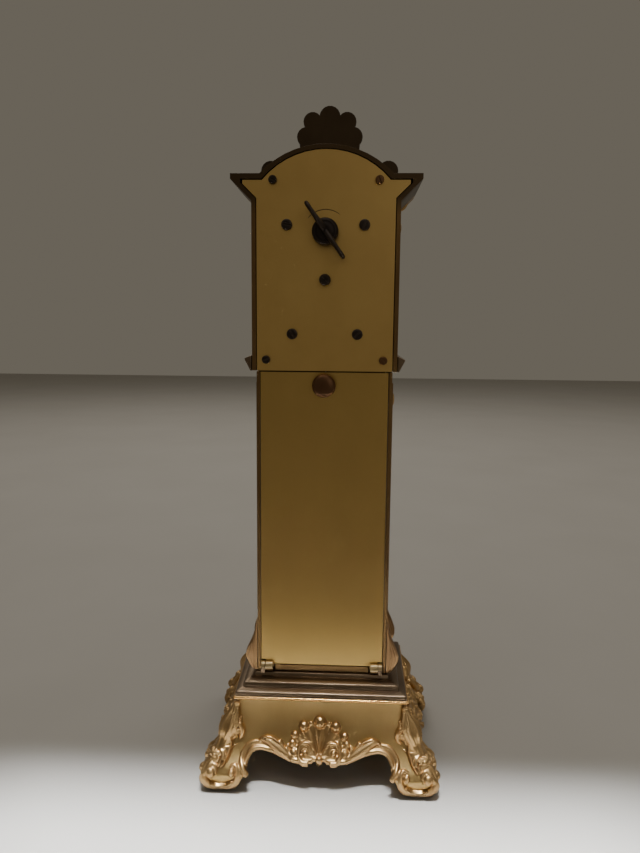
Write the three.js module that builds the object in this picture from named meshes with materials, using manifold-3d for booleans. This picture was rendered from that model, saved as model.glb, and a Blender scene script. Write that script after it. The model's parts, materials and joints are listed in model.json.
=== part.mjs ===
// A miniature brass longcase anniversary clock: a four-footed rococo base, a trunk with a glazed front and a
// drop-down rear door, a torsion pendulum inside it, and a hood that holds the dial and the movement.
// Millimetres. X runs across the clock, -Y is the dial side, +Y the winding side and Z is up. The origin is
// on the ground under the middle of the base.
import * as THREE from "three";
import { mergeVertices } from "three/addons/utils/BufferGeometryUtils.js";
import Module from "manifold-3d";

const wasm = await Module();
wasm.setup();

// ---------------------------------------------------------------- driving dimensions
const GAP = 0.3; // left between pieces that touch
const TRUNK = { halfX: 31.6, halfY: 20, wall: 1.5, z0: 50, z1: 198.4 };
const SKIRT = { top: 39.6, wall: 2.6, spreadTop: 9.5, spreadFoot: 23.8, archX: 34.5, archY: 22.9 };
const PLINTH = { z0: 39.9, z1: 49.7, spread: 10.7 };
const WINDOW = { halfX: 21, z0: 66, z1: 186, frame: 2.4 };
const DOOR = { halfX: 29.8, z0: 53.5, z1: 198.2, y0: 18.4, y1: 19.8, knobZ: 192.3 };
const HINGE = { y: 20.3, z: 52.8, r: 2.5, x0: 24, split: 27.6, x1: 29.8, pin: 0.7 };
const HOOD = { halfX: 33.7, wall: 1.9, z0: 198.8, yFront: -21.6, yRear: 20 };
const CORNICE = {
  kinkZ: 275.2,
  tipX: 43.2,
  tipZ: 284.6,
  topZ: 287,
  shoulderX: 30,
  crown: 299.6,
  yFront: -33,
};
const BEZEL = { y0: -24.4, y1: -21.9, halfX: 25.5, z0: 209, springZ: 262, rise: 27 };
const BACK_PLATE = { y0: 18.3, y1: 19.8, inset: 2.3 };
const DIAL = { y0: -19.4, y1: -18.6 };
const CREST = { thick: 2.6, top: 327.6 };

// The train: a tooth count and a module for each meshing pair, and the layers the plates leave along Y.
const MODULE = 0.4;
const CANNON_MODULE = 0.25;
const HOUR_MODULE = 0.24;
const TEETH = {
  great: 48,
  pinion: 6,
  centre: 30,
  fourth: 24,
  cannon: 12,
  minute: 36,
  hourPinion: 10,
  hour: 40,
};
const FRONT_PLATE = { y0: -15.3, y1: -13.9 };
const REAR_PLATE = { y0: -1.9, y1: -0.7 };
const meshing = (a, b, module = MODULE) => ((a + b) * module) / 2;

// Arbors, as {x, z} where they cross the plates. Each stands at its meshing distance from the last.
const CENTRE = { x: 0, z: 240.2 };
const KEY = { x: 0, z: 261.1 };
const GREAT_MESH = meshing(TEETH.great, TEETH.pinion);
const STEP_DOWN = (KEY.z - CENTRE.z - GREAT_MESH) / 2;
const SECOND = { x: Math.sqrt(GREAT_MESH ** 2 - STEP_DOWN ** 2), z: KEY.z - STEP_DOWN };
const THIRD = { x: SECOND.x, z: CENTRE.z + STEP_DOWN };
const below = (at, distance, x) => ({ x, z: at.z - Math.sqrt(distance ** 2 - (x - at.x) ** 2) });
const FOURTH = below(CENTRE, meshing(TEETH.centre, TEETH.pinion), -2.1);
const ESCAPE = below(FOURTH, meshing(TEETH.fourth, TEETH.pinion), 0);
const ANCHOR = { x: 0, z: ESCAPE.z - 9.6 };
const MOTION_OFFSET = meshing(TEETH.cannon, TEETH.minute, CANNON_MODULE) / Math.SQRT2;
const MINUTE = { x: CENTRE.x - MOTION_OFFSET, z: CENTRE.z + MOTION_OFFSET };
const PENDULUM = { x: 0, y: 3.2 };

const UPPER_PILLAR = { x: 17.55, z: 264.6 };
const LOWER_PILLAR = { x: 15, z: 215.8 };
const UPPER_SCREW = { x: 23.9, z: 284.1 };
const LOWER_SCREW = { x: 27.1, z: 203.9 };

// ---------------------------------------------------------------- materials
const metal = (color, roughness, metalness = 1) =>
  new THREE.MeshStandardMaterial({ color, roughness, metalness });
const satinBrass = metal(0xb08a3e, 0.38);
const caseBrass = metal(0x8d6a35, 0.42);
const castBrass = metal(0xb98c4a, 0.3);
const wheelBrass = metal(0xc9a24f, 0.3);
const blackSteel = metal(0x1d1a18, 0.45);
const bronze = metal(0x5c3b26, 0.5);
const steel = metal(0x9a9ca0, 0.35);
const dialSilver = metal(0xd9d2bd, 0.6, 0.2);
const handBlack = metal(0x141414, 0.5);
const glass = new THREE.MeshStandardMaterial({
  color: 0xe8f0ee,
  roughness: 0.05,
  transparent: true,
  opacity: 0.25,
});

// ---------------------------------------------------------------- solids
function solidOf(geometry) {
  const bare = geometry.index ? geometry.toNonIndexed() : geometry.clone();
  const position = new THREE.BufferGeometry().setAttribute("position", bare.getAttribute("position"));
  const merged = mergeVertices(position, 1e-4);
  return new wasm.Manifold(
    new wasm.Mesh({
      numProp: 3,
      vertProperties: merged.attributes.position.array,
      triVerts: new Uint32Array(merged.index.array),
    }),
  );
}

function geometryOf(solid) {
  const mesh = solid.getMesh();
  const points = new Float32Array(mesh.numVert * 3);
  for (let i = 0; i < mesh.numVert; i++) {
    points.set(mesh.vertProperties.subarray(i * mesh.numProp, i * mesh.numProp + 3), i * 3);
  }
  const geometry = new THREE.BufferGeometry().setAttribute("position", new THREE.BufferAttribute(points, 3));
  return geometry.setIndex(new THREE.BufferAttribute(mesh.triVerts, 1));
}

const join = (...pieces) => geometryOf(pieces.map(solidOf).reduce((a, b) => a.add(b)));
const cut = (piece, ...tools) =>
  geometryOf(tools.map(solidOf).reduce((a, b) => a.subtract(b), solidOf(piece)));

const box = (x0, x1, y0, y1, z0, z1) =>
  new THREE.BoxGeometry(x1 - x0, y1 - y0, z1 - z0).translate((x0 + x1) / 2, (y0 + y1) / 2, (z0 + z1) / 2);

// A round bar along Y from y0 to y1, standing at {x, z}.
const rodY = (at, r, y0, y1, sides = 16, rEnd = r) =>
  new THREE.CylinderGeometry(rEnd, r, y1 - y0, sides).translate(at.x, (y0 + y1) / 2, at.z);

// A round bar along X from x0 to x1.
const rodX = (y, z, r, x0, x1, sides = 14) =>
  new THREE.CylinderGeometry(r, r, x1 - x0, sides).rotateZ(-Math.PI / 2).translate((x0 + x1) / 2, y, z);

// A turned piece about the vertical through {x, y}; points are [radius, z] from the foot up.
const turnedZ = (at, points, sides = 20) =>
  new THREE.LatheGeometry(points.map(([r, z]) => new THREE.Vector2(r, z)), sides)
    .rotateX(Math.PI / 2)
    .translate(at.x, at.y, 0);

// A turned piece about the Y line through {x, z}; points are [radius, y] from the front back.
const turnedY = (at, points, sides = 20) =>
  new THREE.LatheGeometry(points.map(([r, y]) => new THREE.Vector2(r, y)), sides).translate(at.x, 0, at.z);

// A flat piece of outline (x, z), from y0 to y1.
const slabY = (shape, y0, y1, curveSegments = 8) =>
  new THREE.ExtrudeGeometry(shape, { depth: y1 - y0, bevelEnabled: false, curveSegments })
    .rotateX(Math.PI / 2)
    .translate(0, y1, 0);

// A flat piece of outline (y, z), from x0 to x1.
const slabX = (shape, x0, x1, curveSegments = 8) =>
  new THREE.ExtrudeGeometry(shape, { depth: x1 - x0, bevelEnabled: false, curveSegments })
    .rotateX(Math.PI / 2)
    .rotateZ(Math.PI / 2)
    .translate(x0, 0, 0);

const outline = (points) => new THREE.Shape(points.map(([u, v]) => new THREE.Vector2(u, v)));

// Adds the mirror image, across u = 0, of a half outline that runs from the axis out and back to it.
const mirrored = (half) => outline([...half, ...half.map(([u, v]) => [-u, v]).reverse()]);

const disc = (x, z, r) => new THREE.Shape().absarc(x, z, r, 0, Math.PI * 2);

// A rectangular stack: each level [grow, z] is the plan, the trunk's own at first, grown on all four sides.
const TRUNK_PLAN = { halfX: TRUNK.halfX, y0: -TRUNK.halfY, y1: TRUNK.halfY };
function stack(levels, plan = TRUNK_PLAN) {
  const points = [];
  for (const [grow, z] of levels) {
    const hx = plan.halfX + grow;
    const [y0, y1] = [plan.y0 - grow, plan.y1 + grow];
    points.push([-hx, y0, z], [hx, y0, z], [hx, y1, z], [-hx, y1, z]);
  }
  const faces = [0, 2, 1, 0, 3, 2];
  for (let i = 0; i + 1 < levels.length; i++) {
    for (let k = 0; k < 4; k++) {
      const [a, b] = [4 * i + k, 4 * i + ((k + 1) % 4)];
      faces.push(a, b, b + 4, a, b + 4, a + 4);
    }
  }
  const top = 4 * (levels.length - 1);
  faces.push(top, top + 1, top + 2, top, top + 2, top + 3);
  const geometry = new THREE.BufferGeometry();
  geometry.setAttribute("position", new THREE.Float32BufferAttribute(points.flat(), 3));
  return geometry.setIndex(faces);
}

// ---------------------------------------------------------------- wheels
// A toothed outline about {x, z}. A tooth, or with gap set a space, points at the arbor it meshes with.
const TOOTH_FORM = { gap: false, addendum: 0.7, dedendum: 1.2, leaf: false };
function toothed(at, teeth, module, mate, form = TOOTH_FORM) {
  const { gap, addendum, dedendum, leaf } = form;
  const pitchR = (teeth * module) / 2;
  const step = (2 * Math.PI) / teeth;
  const aim = Math.atan2(mate.z - at.z, mate.x - at.x) + (gap ? step / 2 : 0);
  const rootHalf = leaf ? 0.16 : 0.21;
  const [rootR, tipR] = [pitchR - dedendum * module, pitchR + addendum * module];
  const points = [];
  for (let i = 0; i < teeth; i++) {
    for (const [r, share] of [[rootR, -rootHalf], [tipR, 0], [rootR, rootHalf]]) {
      const angle = aim + (i + share) * step;
      points.push([at.x + r * Math.cos(angle), at.z + r * Math.sin(angle)]);
    }
  }
  return outline(points);
}

const wheel = (at, teeth, module, mate, y0, y1, form) =>
  slabY(toothed(at, teeth, module, mate, form), y0, y1);
const PINION_FORM = { gap: true, addendum: 0.6, dedendum: 1.2, leaf: true };
const pinion = (at, teeth, module, mate, y0, y1) => wheel(at, teeth, module, mate, y0, y1, PINION_FORM);

// Spoke openings cut from a wheel, leaving crossings between a hub and a rim.
function crossings(at, rHub, rRim, count, y0, y1) {
  const tools = [];
  const step = (2 * Math.PI) / count;
  const spoke = 0.5;
  for (let i = 0; i < count; i++) {
    const shape = new THREE.Shape();
    const [a0, a1] = [i * step, (i + 1) * step];
    shape.absarc(0, 0, rRim, a0 + spoke / rRim, a1 - spoke / rRim, false);
    shape.absarc(0, 0, rHub, a1 - spoke / rHub, a0 + spoke / rHub, true);
    tools.push(slabY(shape, y0 - 1, y1 + 1, 2).translate(at.x, 0, at.z));
  }
  return tools;
}

// ---------------------------------------------------------------- the assembly
const clock = new THREE.Group();
function add(name, geometry, material) {
  const mesh = new THREE.Mesh(geometry, material);
  mesh.name = name;
  clock.add(mesh);
}

// ---- base
function skirtCasting() {
  const foot = SKIRT.spreadFoot;
  const outer = [
    [foot - 1.4, 0], [foot, 7.5], [18.6, 10.5], [14.6, 20], [11.5, 30], [SKIRT.spreadTop, SKIRT.top],
  ];
  const inner = outer.map(([grow, z]) => [grow - SKIRT.wall, z]);
  inner[0][1] = -1;
  inner.at(-1)[1] = SKIRT.top + 1;
  // The openwork edge under an apron of half length `half`: two arches by the feet and a dip at the middle.
  const arch = (half) => {
    const shape = new THREE.Shape();
    shape.moveTo(-half, -1);
    shape.lineTo(-half, 9);
    const crown = { u: half - 6.5, z: 17.4 };
    const dip = { u: half / 4, z: 13.5 };
    shape.bezierCurveTo(-half, 14, -half + 2.5, crown.z, -crown.u, crown.z);
    shape.bezierCurveTo(-crown.u + 8, crown.z, -dip.u - 6, dip.z, -dip.u, dip.z);
    shape.quadraticCurveTo(0, dip.z + 1, dip.u, dip.z);
    shape.bezierCurveTo(dip.u + 6, dip.z, crown.u - 8, crown.z, crown.u, crown.z);
    shape.bezierCurveTo(half - 2.5, crown.z, half, 14, half, 9);
    shape.lineTo(half, -1);
    return shape;
  };
  return cut(stack(outer), stack(inner), slabY(arch(SKIRT.archX), -60, 60, 5),
    slabX(arch(SKIRT.archY), -70, 70, 5));
}

function plinthMoulding() {
  const { z0, z1, spread } = PLINTH;
  const outer = [
    [spread, z0], [spread, z0 + 1.5], [spread - 1, z0 + 2.2], [spread - 1.4, z0 + 4], [6, z0 + 5.2],
    [5.3, z0 + 7.4], [1.5, z0 + 8.4], [0.8, z1],
  ];
  const hollow = [[spread - 3, z0 - 1], [spread - 3, z0 + 2], [2, z0 + 5.5], [-1, z1 - 1.6]];
  return cut(stack(outer), stack(hollow));
}

add("base_casting", skirtCasting(), castBrass);
add("base_moulding", plinthMoulding(), caseBrass);
const INSIDE_SKIRT = SKIRT.spreadTop - SKIRT.wall - GAP;
add("base_plate", stack([[INSIDE_SKIRT, SKIRT.top - 1.8], [INSIDE_SKIRT, SKIRT.top - 0.3]]), steel);
add("guide_cup", cut(
  turnedZ(PENDULUM, [[0, 50], [6, 50], [6, 51.4], [1.4, 52.6], [1.2, 72], [3, 74], [3, 79], [0, 79]], 14),
  turnedZ(PENDULUM, [[0, 75], [1.7, 75], [1.7, 80], [0, 80]], 14),
), wheelBrass);

// ---- trunk
// Four thin walls, open behind for the door, with a sill that the door closes against and, between the two
// hinges, a rail flush with the door's face.
function trunkCase() {
  const { halfX, halfY, wall, z0, z1 } = TRUNK;
  const sill = { y0: 15.6, y1: 17.4, top: 4 };
  const rail = { halfX: 23.2, y1: DOOR.y1, top: 3.1 };
  const inner = halfX - wall;
  const walls = cut(
    box(-halfX, halfX, -halfY, halfY, z0, z1),
    box(-inner, inner, -halfY + wall, halfY + 1, z0 + sill.top, z1 + 1),
    box(-inner, inner, -halfY + wall, sill.y0, z0 - 1, z0 + sill.top + 1),
    box(-inner, inner, sill.y1, halfY + 1, z0 - 1, z0 + sill.top + 1),
    box(-WINDOW.halfX, WINDOW.halfX, -halfY - 1, -halfY + wall + 1, WINDOW.z0, WINDOW.z1),
  );
  return join(walls, box(-rail.halfX, rail.halfX, sill.y1 - 0.5, rail.y1, z0, z0 + rail.top));
}

// A frame screwed over the window, with a scrolled capital at each upper corner that wraps round the side.
function windowFrame() {
  const y1 = -TRUNK.halfY - GAP;
  const y0 = y1 - WINDOW.frame;
  const [z0, z1] = [176, 187];
  const capital = join(
    box(26, sideX + 3.4, y0 - 1.2, y1, z0, z1),
    box(sideX, sideX + 3.4, y1 - 0.5, -14, z0, z1),
  );
  const frame = join(box(-27, 27, y0, y1, 58, 192), capital, mirrorX(capital));
  return cut(frame, box(-18.5, 18.5, y0 - 2, y1 + 1, 70, 182));
}

// An acanthus leaf on a lower corner of a side wall. Its outline is what shows from behind.
const sideX = TRUNK.halfX + GAP;
const leafOutline = outline([
  [sideX, 50.2], [sideX + 3.2, 50.2], [sideX + 5.4, 52.4], [sideX + 6.1, 55], [sideX + 5.3, 60],
  [sideX + 3.2, 66], [sideX + 1.3, 72], [sideX, 75.5],
]);
const leafRuns = { rear: [9.5, 19.8], front: [-21, -9.5] };

// The same piece on the other side of the clock, with its faces turned to point out again.
function mirrorX(geometry) {
  const turned = geometryOf(solidOf(geometry)).scale(-1, 1, 1);
  const index = turned.index.array;
  for (let i = 0; i < index.length; i += 3) [index[i + 1], index[i + 2]] = [index[i + 2], index[i + 1]];
  return turned;
}

add("trunk_case", trunkCase(), caseBrass);
add("trunk_glass", box(-20.4, 20.4, -TRUNK.halfY + 0.1, -TRUNK.halfY + 1.1, 66.6, 185.4), glass);
add("trunk_window_frame", windowFrame(), castBrass);
for (const [place, [y0, y1]] of Object.entries(leafRuns)) {
  add("trunk_leaf_" + place + "_left", slabY(leafOutline, y0, y1), castBrass);
  add("trunk_leaf_" + place + "_right", mirrorX(slabY(leafOutline, y0, y1)), castBrass);
}

// ---- rear door, which drops down about two short pins at its lower corners
const hingePoint = { y: HINGE.y, z: HINGE.z };
const hingeBore = (side) => {
  const [a, b] = side > 0 ? [HINGE.x0 - 1, HINGE.x1 + 1] : [-HINGE.x1 - 1, -HINGE.x0 + 1];
  return rodX(hingePoint.y, hingePoint.z, HINGE.pin + GAP, a, b);
};

// The panel with a rolled knuckle near each lower corner and a clearance beside it for the fixed lug.
function doorPanel() {
  const leaf = box(-DOOR.halfX, DOOR.halfX, DOOR.y0, DOOR.y1, DOOR.z0, DOOR.z1);
  const knuckles = [[HINGE.x0, HINGE.split], [-HINGE.split, -HINGE.x0]].map(([a, b]) =>
    rodX(hingePoint.y, hingePoint.z, HINGE.r, a, b));
  const clear = [HINGE.split, DOOR.halfX + 1, 16, 24, 50, HINGE.z + HINGE.r + 0.5];
  return cut(
    join(leaf, ...knuckles),
    box(...clear),
    box(-clear[1], -clear[0], ...clear.slice(2)),
    rodY({ x: 0, z: DOOR.knobZ }, 1.8, DOOR.y0 - 1, DOOR.y1 + 1),
    hingeBore(1),
    hingeBore(-1),
  );
}

// A fixed lug that stands on the base moulding, with the pin that the door's knuckle turns on.
function hingeLug() {
  const x0 = HINGE.split + GAP;
  const eye = rodX(hingePoint.y, hingePoint.z, HINGE.r, x0, HINGE.x1);
  const foot = box(x0, HINGE.x1, HINGE.y - HINGE.r, HINGE.y + HINGE.r, TRUNK.z0, HINGE.z);
  return join(eye, foot, rodX(hingePoint.y, hingePoint.z, HINGE.pin, HINGE.x0 - 0.4, HINGE.x1, 10));
}

// The knob is turned, necked through the panel and riveted over inside it.
const DOOR_KNOB = [
  [0, -0.8], [3, -0.8], [3, -0.3], [1.5, -0.3], [1.5, 1.7], [3.4, 1.7], [2.4, 3.6], [4.8, 5], [5.4, 6.2],
  [5.2, 7.4], [4.4, 8.1], [0, 8.4],
].map(([r, out]) => [r, DOOR.y0 + out]);

add("rear_door", doorPanel(), satinBrass);
add("door_knob", turnedY({ x: 0, z: DOOR.knobZ }, DOOR_KNOB), bronze);
add("hinge_lug_left", hingeLug(), castBrass);
add("hinge_lug_right", mirrorX(hingeLug()), castBrass);

// ---- hood
// The hood's outline from behind, shrunk by `inset`: straight sides, flared cornice ears and an arch.
function hoodOutline(inset) {
  const c = CORNICE;
  const [side, shoulder] = [HOOD.halfX - inset, c.shoulderX - inset * 0.5];
  const [ear, top, crown] = [c.tipX - inset * 2.4, c.topZ - inset * 1.25, c.crown - inset];
  const rise = crown - top;
  const radius = (shoulder ** 2 + rise ** 2) / (2 * rise);
  const spring = Math.asin(shoulder / radius);
  const shape = new THREE.Shape();
  shape.moveTo(side, HOOD.z0);
  shape.lineTo(side, c.kinkZ + inset * 0.5);
  shape.lineTo(ear, c.tipZ - inset * 0.9);
  shape.lineTo(ear, top);
  shape.lineTo(shoulder, top);
  shape.absarc(0, crown - radius, radius, Math.PI / 2 - spring, Math.PI / 2 + spring);
  shape.lineTo(-ear, top);
  shape.lineTo(-ear, c.tipZ - inset * 0.9);
  shape.lineTo(-side, c.kinkZ + inset * 0.5);
  shape.lineTo(-side, HOOD.z0);
  return shape;
}

// A shell round the movement, with four lugs that the back plate is screwed to.
function hoodCase() {
  const shell = slabY(hoodOutline(0), HOOD.yFront, HOOD.yRear, 7);
  const inside = slabY(hoodOutline(HOOD.wall), HOOD.yFront - 1, HOOD.yRear + 1, 7);
  const inner = HOOD.halfX - HOOD.wall;
  const mouth = box(-inner, inner, -40, 40, HOOD.z0 - 1, HOOD.z0 + 4);
  const [y0, y1] = [BACK_PLATE.y0 - GAP - 4, BACK_PLATE.y0 - GAP];
  const lugs = [1, -1].flatMap((s) => [
    boxAround({ x: s * (LOWER_SCREW.x + 1.5), z: LOWER_SCREW.z }, 4, 2.6, y0, y1),
    boxAround({ x: s * UPPER_SCREW.x, z: UPPER_SCREW.z + 0.9 }, 2.6, 2.9, y0, y1),
  ]);
  const holes = CORNER_SCREWS.map((at) => rodY(at, 1.3, y0 - 1, y1 + 1, 10));
  return cut(join(cut(shell, inside, mouth), ...lugs), ...holes);
}

const boxAround = (at, halfX, halfZ, y0, y1) =>
  box(at.x - halfX, at.x + halfX, y0, y1, at.z - halfZ, at.z + halfZ);
const bothSides = (at) => [at, { x: -at.x, z: at.z }];
const CORNER_SCREWS = [UPPER_SCREW, LOWER_SCREW].flatMap(bothSides);
const PILLARS = [UPPER_PILLAR, LOWER_PILLAR].flatMap(bothSides);

function hoodBackPlate() {
  const { y0, y1, inset } = BACK_PLATE;
  const hole = (at, r) => rodY(at, r, y0 - 1, y1 + 1, 10);
  return cut(
    slabY(hoodOutline(inset), y0, y1, 7),
    hole(KEY, 2.2),
    hole(CENTRE, 1.5),
    ...CORNER_SCREWS.map((at) => hole(at, 1.3)),
    ...PILLARS.map((at) => hole(at, 1.5)),
  );
}

// A slotted cheese-head screw that runs forward from the back plate.
function slottedScrew(at, headR, shankR, length) {
  const y = BACK_PLATE.y1 + GAP;
  const head = turnedY(at, [[0, y - length], [shankR, y - length], [shankR, y], [headR, y], [headR, y + 1.3],
    [headR * 0.75, y + 1.7], [0, y + 1.7]], 10);
  return cut(head, box(at.x - headR - 1, at.x + headR + 1, y + 1, y + 3, at.z - 0.35, at.z + 0.35));
}

// The corbel moulding round the foot of the hood, along the front and both sides.
function throatMoulding() {
  const plan = { halfX: HOOD.halfX, y0: BEZEL.y0, y1: HOOD.yRear };
  const levels = [[0.9, 198.6], [2.1, 201], [3.3, 203.2], [3.7, 204.3], [0.9, 205.6]];
  const [low, high] = [levels[0][1] - 1, levels.at(-1)[1] + 1];
  return cut(stack(levels, plan), stack([[GAP, low], [GAP, high]], plan), box(-60, 60, 19.7, 60, low, high));
}

// The glazed opening in the hood's front, square below and arched above.
function glazedOpening(inset) {
  const half = BEZEL.halfX - inset;
  const shape = new THREE.Shape();
  shape.moveTo(-half, BEZEL.z0 + inset);
  shape.lineTo(half, BEZEL.z0 + inset);
  shape.lineTo(half, BEZEL.springZ);
  shape.absellipse(0, BEZEL.springZ, half, BEZEL.rise - inset, 0, Math.PI, false);
  return shape;
}
const hoodBezel = () =>
  cut(slabY(hoodOutline(0), BEZEL.y0, BEZEL.y1, 7), slabY(glazedOpening(0), BEZEL.y0 - 1, BEZEL.y1 + 1, 8));

// The cornice's overhang in front, a rim that follows the ears and the arch.
function frontCornice() {
  const [y0, y1] = [CORNICE.yFront, BEZEL.y0 - GAP];
  return cut(
    slabY(hoodOutline(0), y0, y1, 7),
    slabY(hoodOutline(HOOD.wall + 0.6), y0 - 1, y1 + 1, 7),
    box(-60, 60, y0 - 1, y1 + 1, HOOD.z0 - 1, CORNICE.kinkZ + 1.5),
    box(-HOOD.halfX, HOOD.halfX, y0 - 1, y1 + 1, HOOD.z0, CORNICE.kinkZ + 5),
  );
}

// A five-lobed shell over the arch, on a band that follows it down to a round volute above each shoulder.
function crest() {
  const [y0, y1] = [BEZEL.y0, BEZEL.y0 + CREST.thick];
  const lobes = [[0, CREST.top - 5.2, 5.2], [8.6, 320.1, 4.6], [-8.6, 320.1, 4.6], [11.7, 312.9, 4.7],
    [-11.7, 312.9, 4.7]];
  const neck = mirrored([
    [0, 300.2], [12.5, 300.2], [14.6, 304], [15, 309], [13, 312], [10.5, 319.6], [4, 322.5], [0, 322.5],
  ]);
  const under = CORNICE.crown + GAP;
  const band = mirrored([[0, under], [10, under - 1.2], [19.5, under - 4.6], [26.2, under - 8.6],
    [28, under - 5.6], [19, under - 0.6], [9, under + 3], [0, under + 3.6]]);
  const volutes = [1, -1].map((s) => slabY(disc(s * 29.5, 296.5, 5), y0, y1, 9));
  return join(
    slabY(neck, y0, y1),
    slabY(band, y0, y1),
    ...volutes,
    ...lobes.map(([x, z, r]) => slabY(disc(x, z, r), y0, y1, 9)),
  );
}

const dialPlate = () =>
  cut(slabY(hoodOutline(HOOD.wall + 3.2), DIAL.y0, DIAL.y1, 7), rodY(CENTRE, 2.6, DIAL.y0 - 1, DIAL.y1 + 1));
const chapterRing = () => {
  const [y0, y1] = [DIAL.y0 - GAP - 0.5, DIAL.y0 - GAP];
  return cut(rodY(CENTRE, 24.2, y0, y1, 36), rodY(CENTRE, 15.6, y0 - 1, y1 + 1, 28));
};

add("hood_case", hoodCase(), caseBrass);
add("hood_back_plate", hoodBackPlate(), satinBrass);
add("throat_moulding", throatMoulding(), castBrass);
add("hood_bezel", hoodBezel(), castBrass);
add("front_cornice", frontCornice(), castBrass);
add("hood_glass", slabY(glazedOpening(GAP), BEZEL.y0 + 0.9, BEZEL.y0 + 1.9, 8), glass);
add("crest", crest(), castBrass);
add("dial_plate", dialPlate(), satinBrass);
add("chapter_ring", chapterRing(), dialSilver);

CORNER_SCREWS.forEach((at, i) => {
  add("back_plate_screw_" + (i + 1), slottedScrew(at, 2, 1, 4.5), blackSteel);
});
PILLARS.forEach((at, i) => {
  add("movement_screw_" + (i + 1), slottedScrew(at, 2.6, 1, 6), blackSteel);
});

// ---- movement: two plates on four long pillars, which are riveted into the front one
const PIVOT = 0.5;
const PIVOT_HOLE = PIVOT + GAP;
function movementPlate(y0, y1, holes) {
  const shape = mirrored([[0, 209], [18, 209], [20.5, 236], [21.5, 270], [0, 270]]);
  return cut(slabY(shape, y0, y1), ...holes.map(([at, r]) => rodY(at, r, y0 - 1, y1 + 1, 10)));
}
// The rear plate drops over the posts and rests on the collars; the back plate's screws go into their ends.
const PILLAR = { shank: 1.35, collar: 3, post: 1.9, bore: 1.35 };
function pillar(at) {
  const [front, shoulder, rear] = [FRONT_PLATE.y0 + 0.2, REAR_PLATE.y0 - GAP, BACK_PLATE.y0 - GAP];
  const { shank, collar, post, bore } = PILLAR;
  const profile = [
    [0, front], [shank, front], [shank, shoulder - 2], [collar, shoulder - 2], [collar, shoulder],
    [post, shoulder], [post, rear], [0, rear],
  ];
  return cut(turnedY(at, profile, 10), rodY(at, bore, rear - 6, rear + 1, 8));
}
const trainHoles = [SECOND, THIRD, FOURTH, ESCAPE].map((at) => [at, PIVOT_HOLE]);
add("movement_front_plate", join(
  movementPlate(FRONT_PLATE.y0, FRONT_PLATE.y1, [
    ...trainHoles, [KEY, PIVOT_HOLE], [CENTRE, 1.4], [ANCHOR, PIVOT_HOLE], [MINUTE, PIVOT_HOLE],
  ]),
  ...PILLARS.map(pillar),
), wheelBrass);
add("movement_rear_plate", movementPlate(REAR_PLATE.y0, REAR_PLATE.y1, [
  ...trainHoles, [KEY, 1.9], [CENTRE, 1.3], [ANCHOR, 1.1], ...PILLARS.map((at) => [at, PILLAR.post + GAP]),
]), wheelBrass);

// ---- mainspring barrel, its winding arbor with ratchet and key, and the click
const BARREL = { y0: -10.2, y1: -2.8, wheelY: -3.8, r: 8.2 };
function barrel() {
  const drum = rodY(KEY, BARREL.r, BARREL.y0, BARREL.y1 - 0.5, 28);
  const great = wheel(KEY, TEETH.great, MODULE, SECOND, BARREL.wheelY, BARREL.y1);
  const room = rodY(KEY, BARREL.r - 0.8, BARREL.y0 + 0.8, BARREL.wheelY, 28);
  return cut(join(drum, great), room, rodY(KEY, 1.9, BARREL.y0 - 1, BARREL.y1 + 1, 14));
}

// A flat spring coiled round the arbor, as a band between two spirals.
function mainspring() {
  const [turns, perTurn, rIn, rOut, thick] = [3.5, 12, 2.5, 6.9, 0.45];
  const steps = Math.round(turns * perTurn);
  const edge = (offset) => Array.from({ length: steps + 1 }, (_, i) => {
    const r = rIn + ((rOut - rIn) * i) / steps + offset;
    const angle = (i / perTurn) * 2 * Math.PI;
    return [KEY.x + r * Math.cos(angle), KEY.z + r * Math.sin(angle)];
  });
  const coil = outline([...edge(thick / 2), ...edge(-thick / 2).reverse()]);
  return slabY(coil, BARREL.y0 + 1.2, BARREL.wheelY - 0.4);
}

// A wheel of raked teeth: each tooth is given as corners [radius, share of a step].
function raked(at, teeth, corners) {
  const points = [];
  for (let i = 0; i < teeth; i++) {
    for (const [r, share] of corners) {
      const angle = ((i + share) * 2 * Math.PI) / teeth;
      points.push([at.x + r * Math.cos(angle), at.z + r * Math.sin(angle)]);
    }
  }
  return outline(points);
}

const RATCHET = { y0: REAR_PLATE.y1 + 0.4, y1: REAR_PLATE.y1 + 1.4, tip: 5.4, root: 4.5, teeth: 20 };
const ratchetShape = raked(KEY, RATCHET.teeth, [[RATCHET.root, 0], [RATCHET.tip, 0.12]]);
const KEY_HUB = { y0: 22.6, y1: 28, r: 5.9 };
const barrelArbor = () => join(
  turnedY(KEY, [[0, -15], [PIVOT, -15], [PIVOT, -10.8], [1.5, -10.8], [1.5, 26], [0, 26]], 14),
  slabY(ratchetShape, RATCHET.y0, RATCHET.y1),
);

// The winding key: a round hub with a socket, and two thin wings in one plane through its axis.
const WINGS = { reaches: [14.9, -14.9], thick: 1.5, tilt: 0.62 };
function windingKey() {
  const { y0, y1, r } = KEY_HUB;
  const hub = turnedY(KEY, [[0, y0], [r, y0], [r, y1 - 0.8], [r - 0.8, y1], [0, y1]], 22);
  const wings = WINGS.reaches.map((reach) => {
    const tip = reach - 3 * Math.sign(reach);
    const ear = outline([[24, 0], [26, reach / 3], [26.4, tip], [28, reach], [31, reach], [33.2, tip],
      [32.6, reach / 3], [30, 0]]);
    const half = WINGS.thick / 2;
    return slabX(ear, -half, half).rotateY(WINGS.tilt).translate(KEY.x, 0, KEY.z);
  });
  return cut(join(hub, ...wings), rodY(KEY, 1.8, y0 - 1, 26.4, 12));
}

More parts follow.
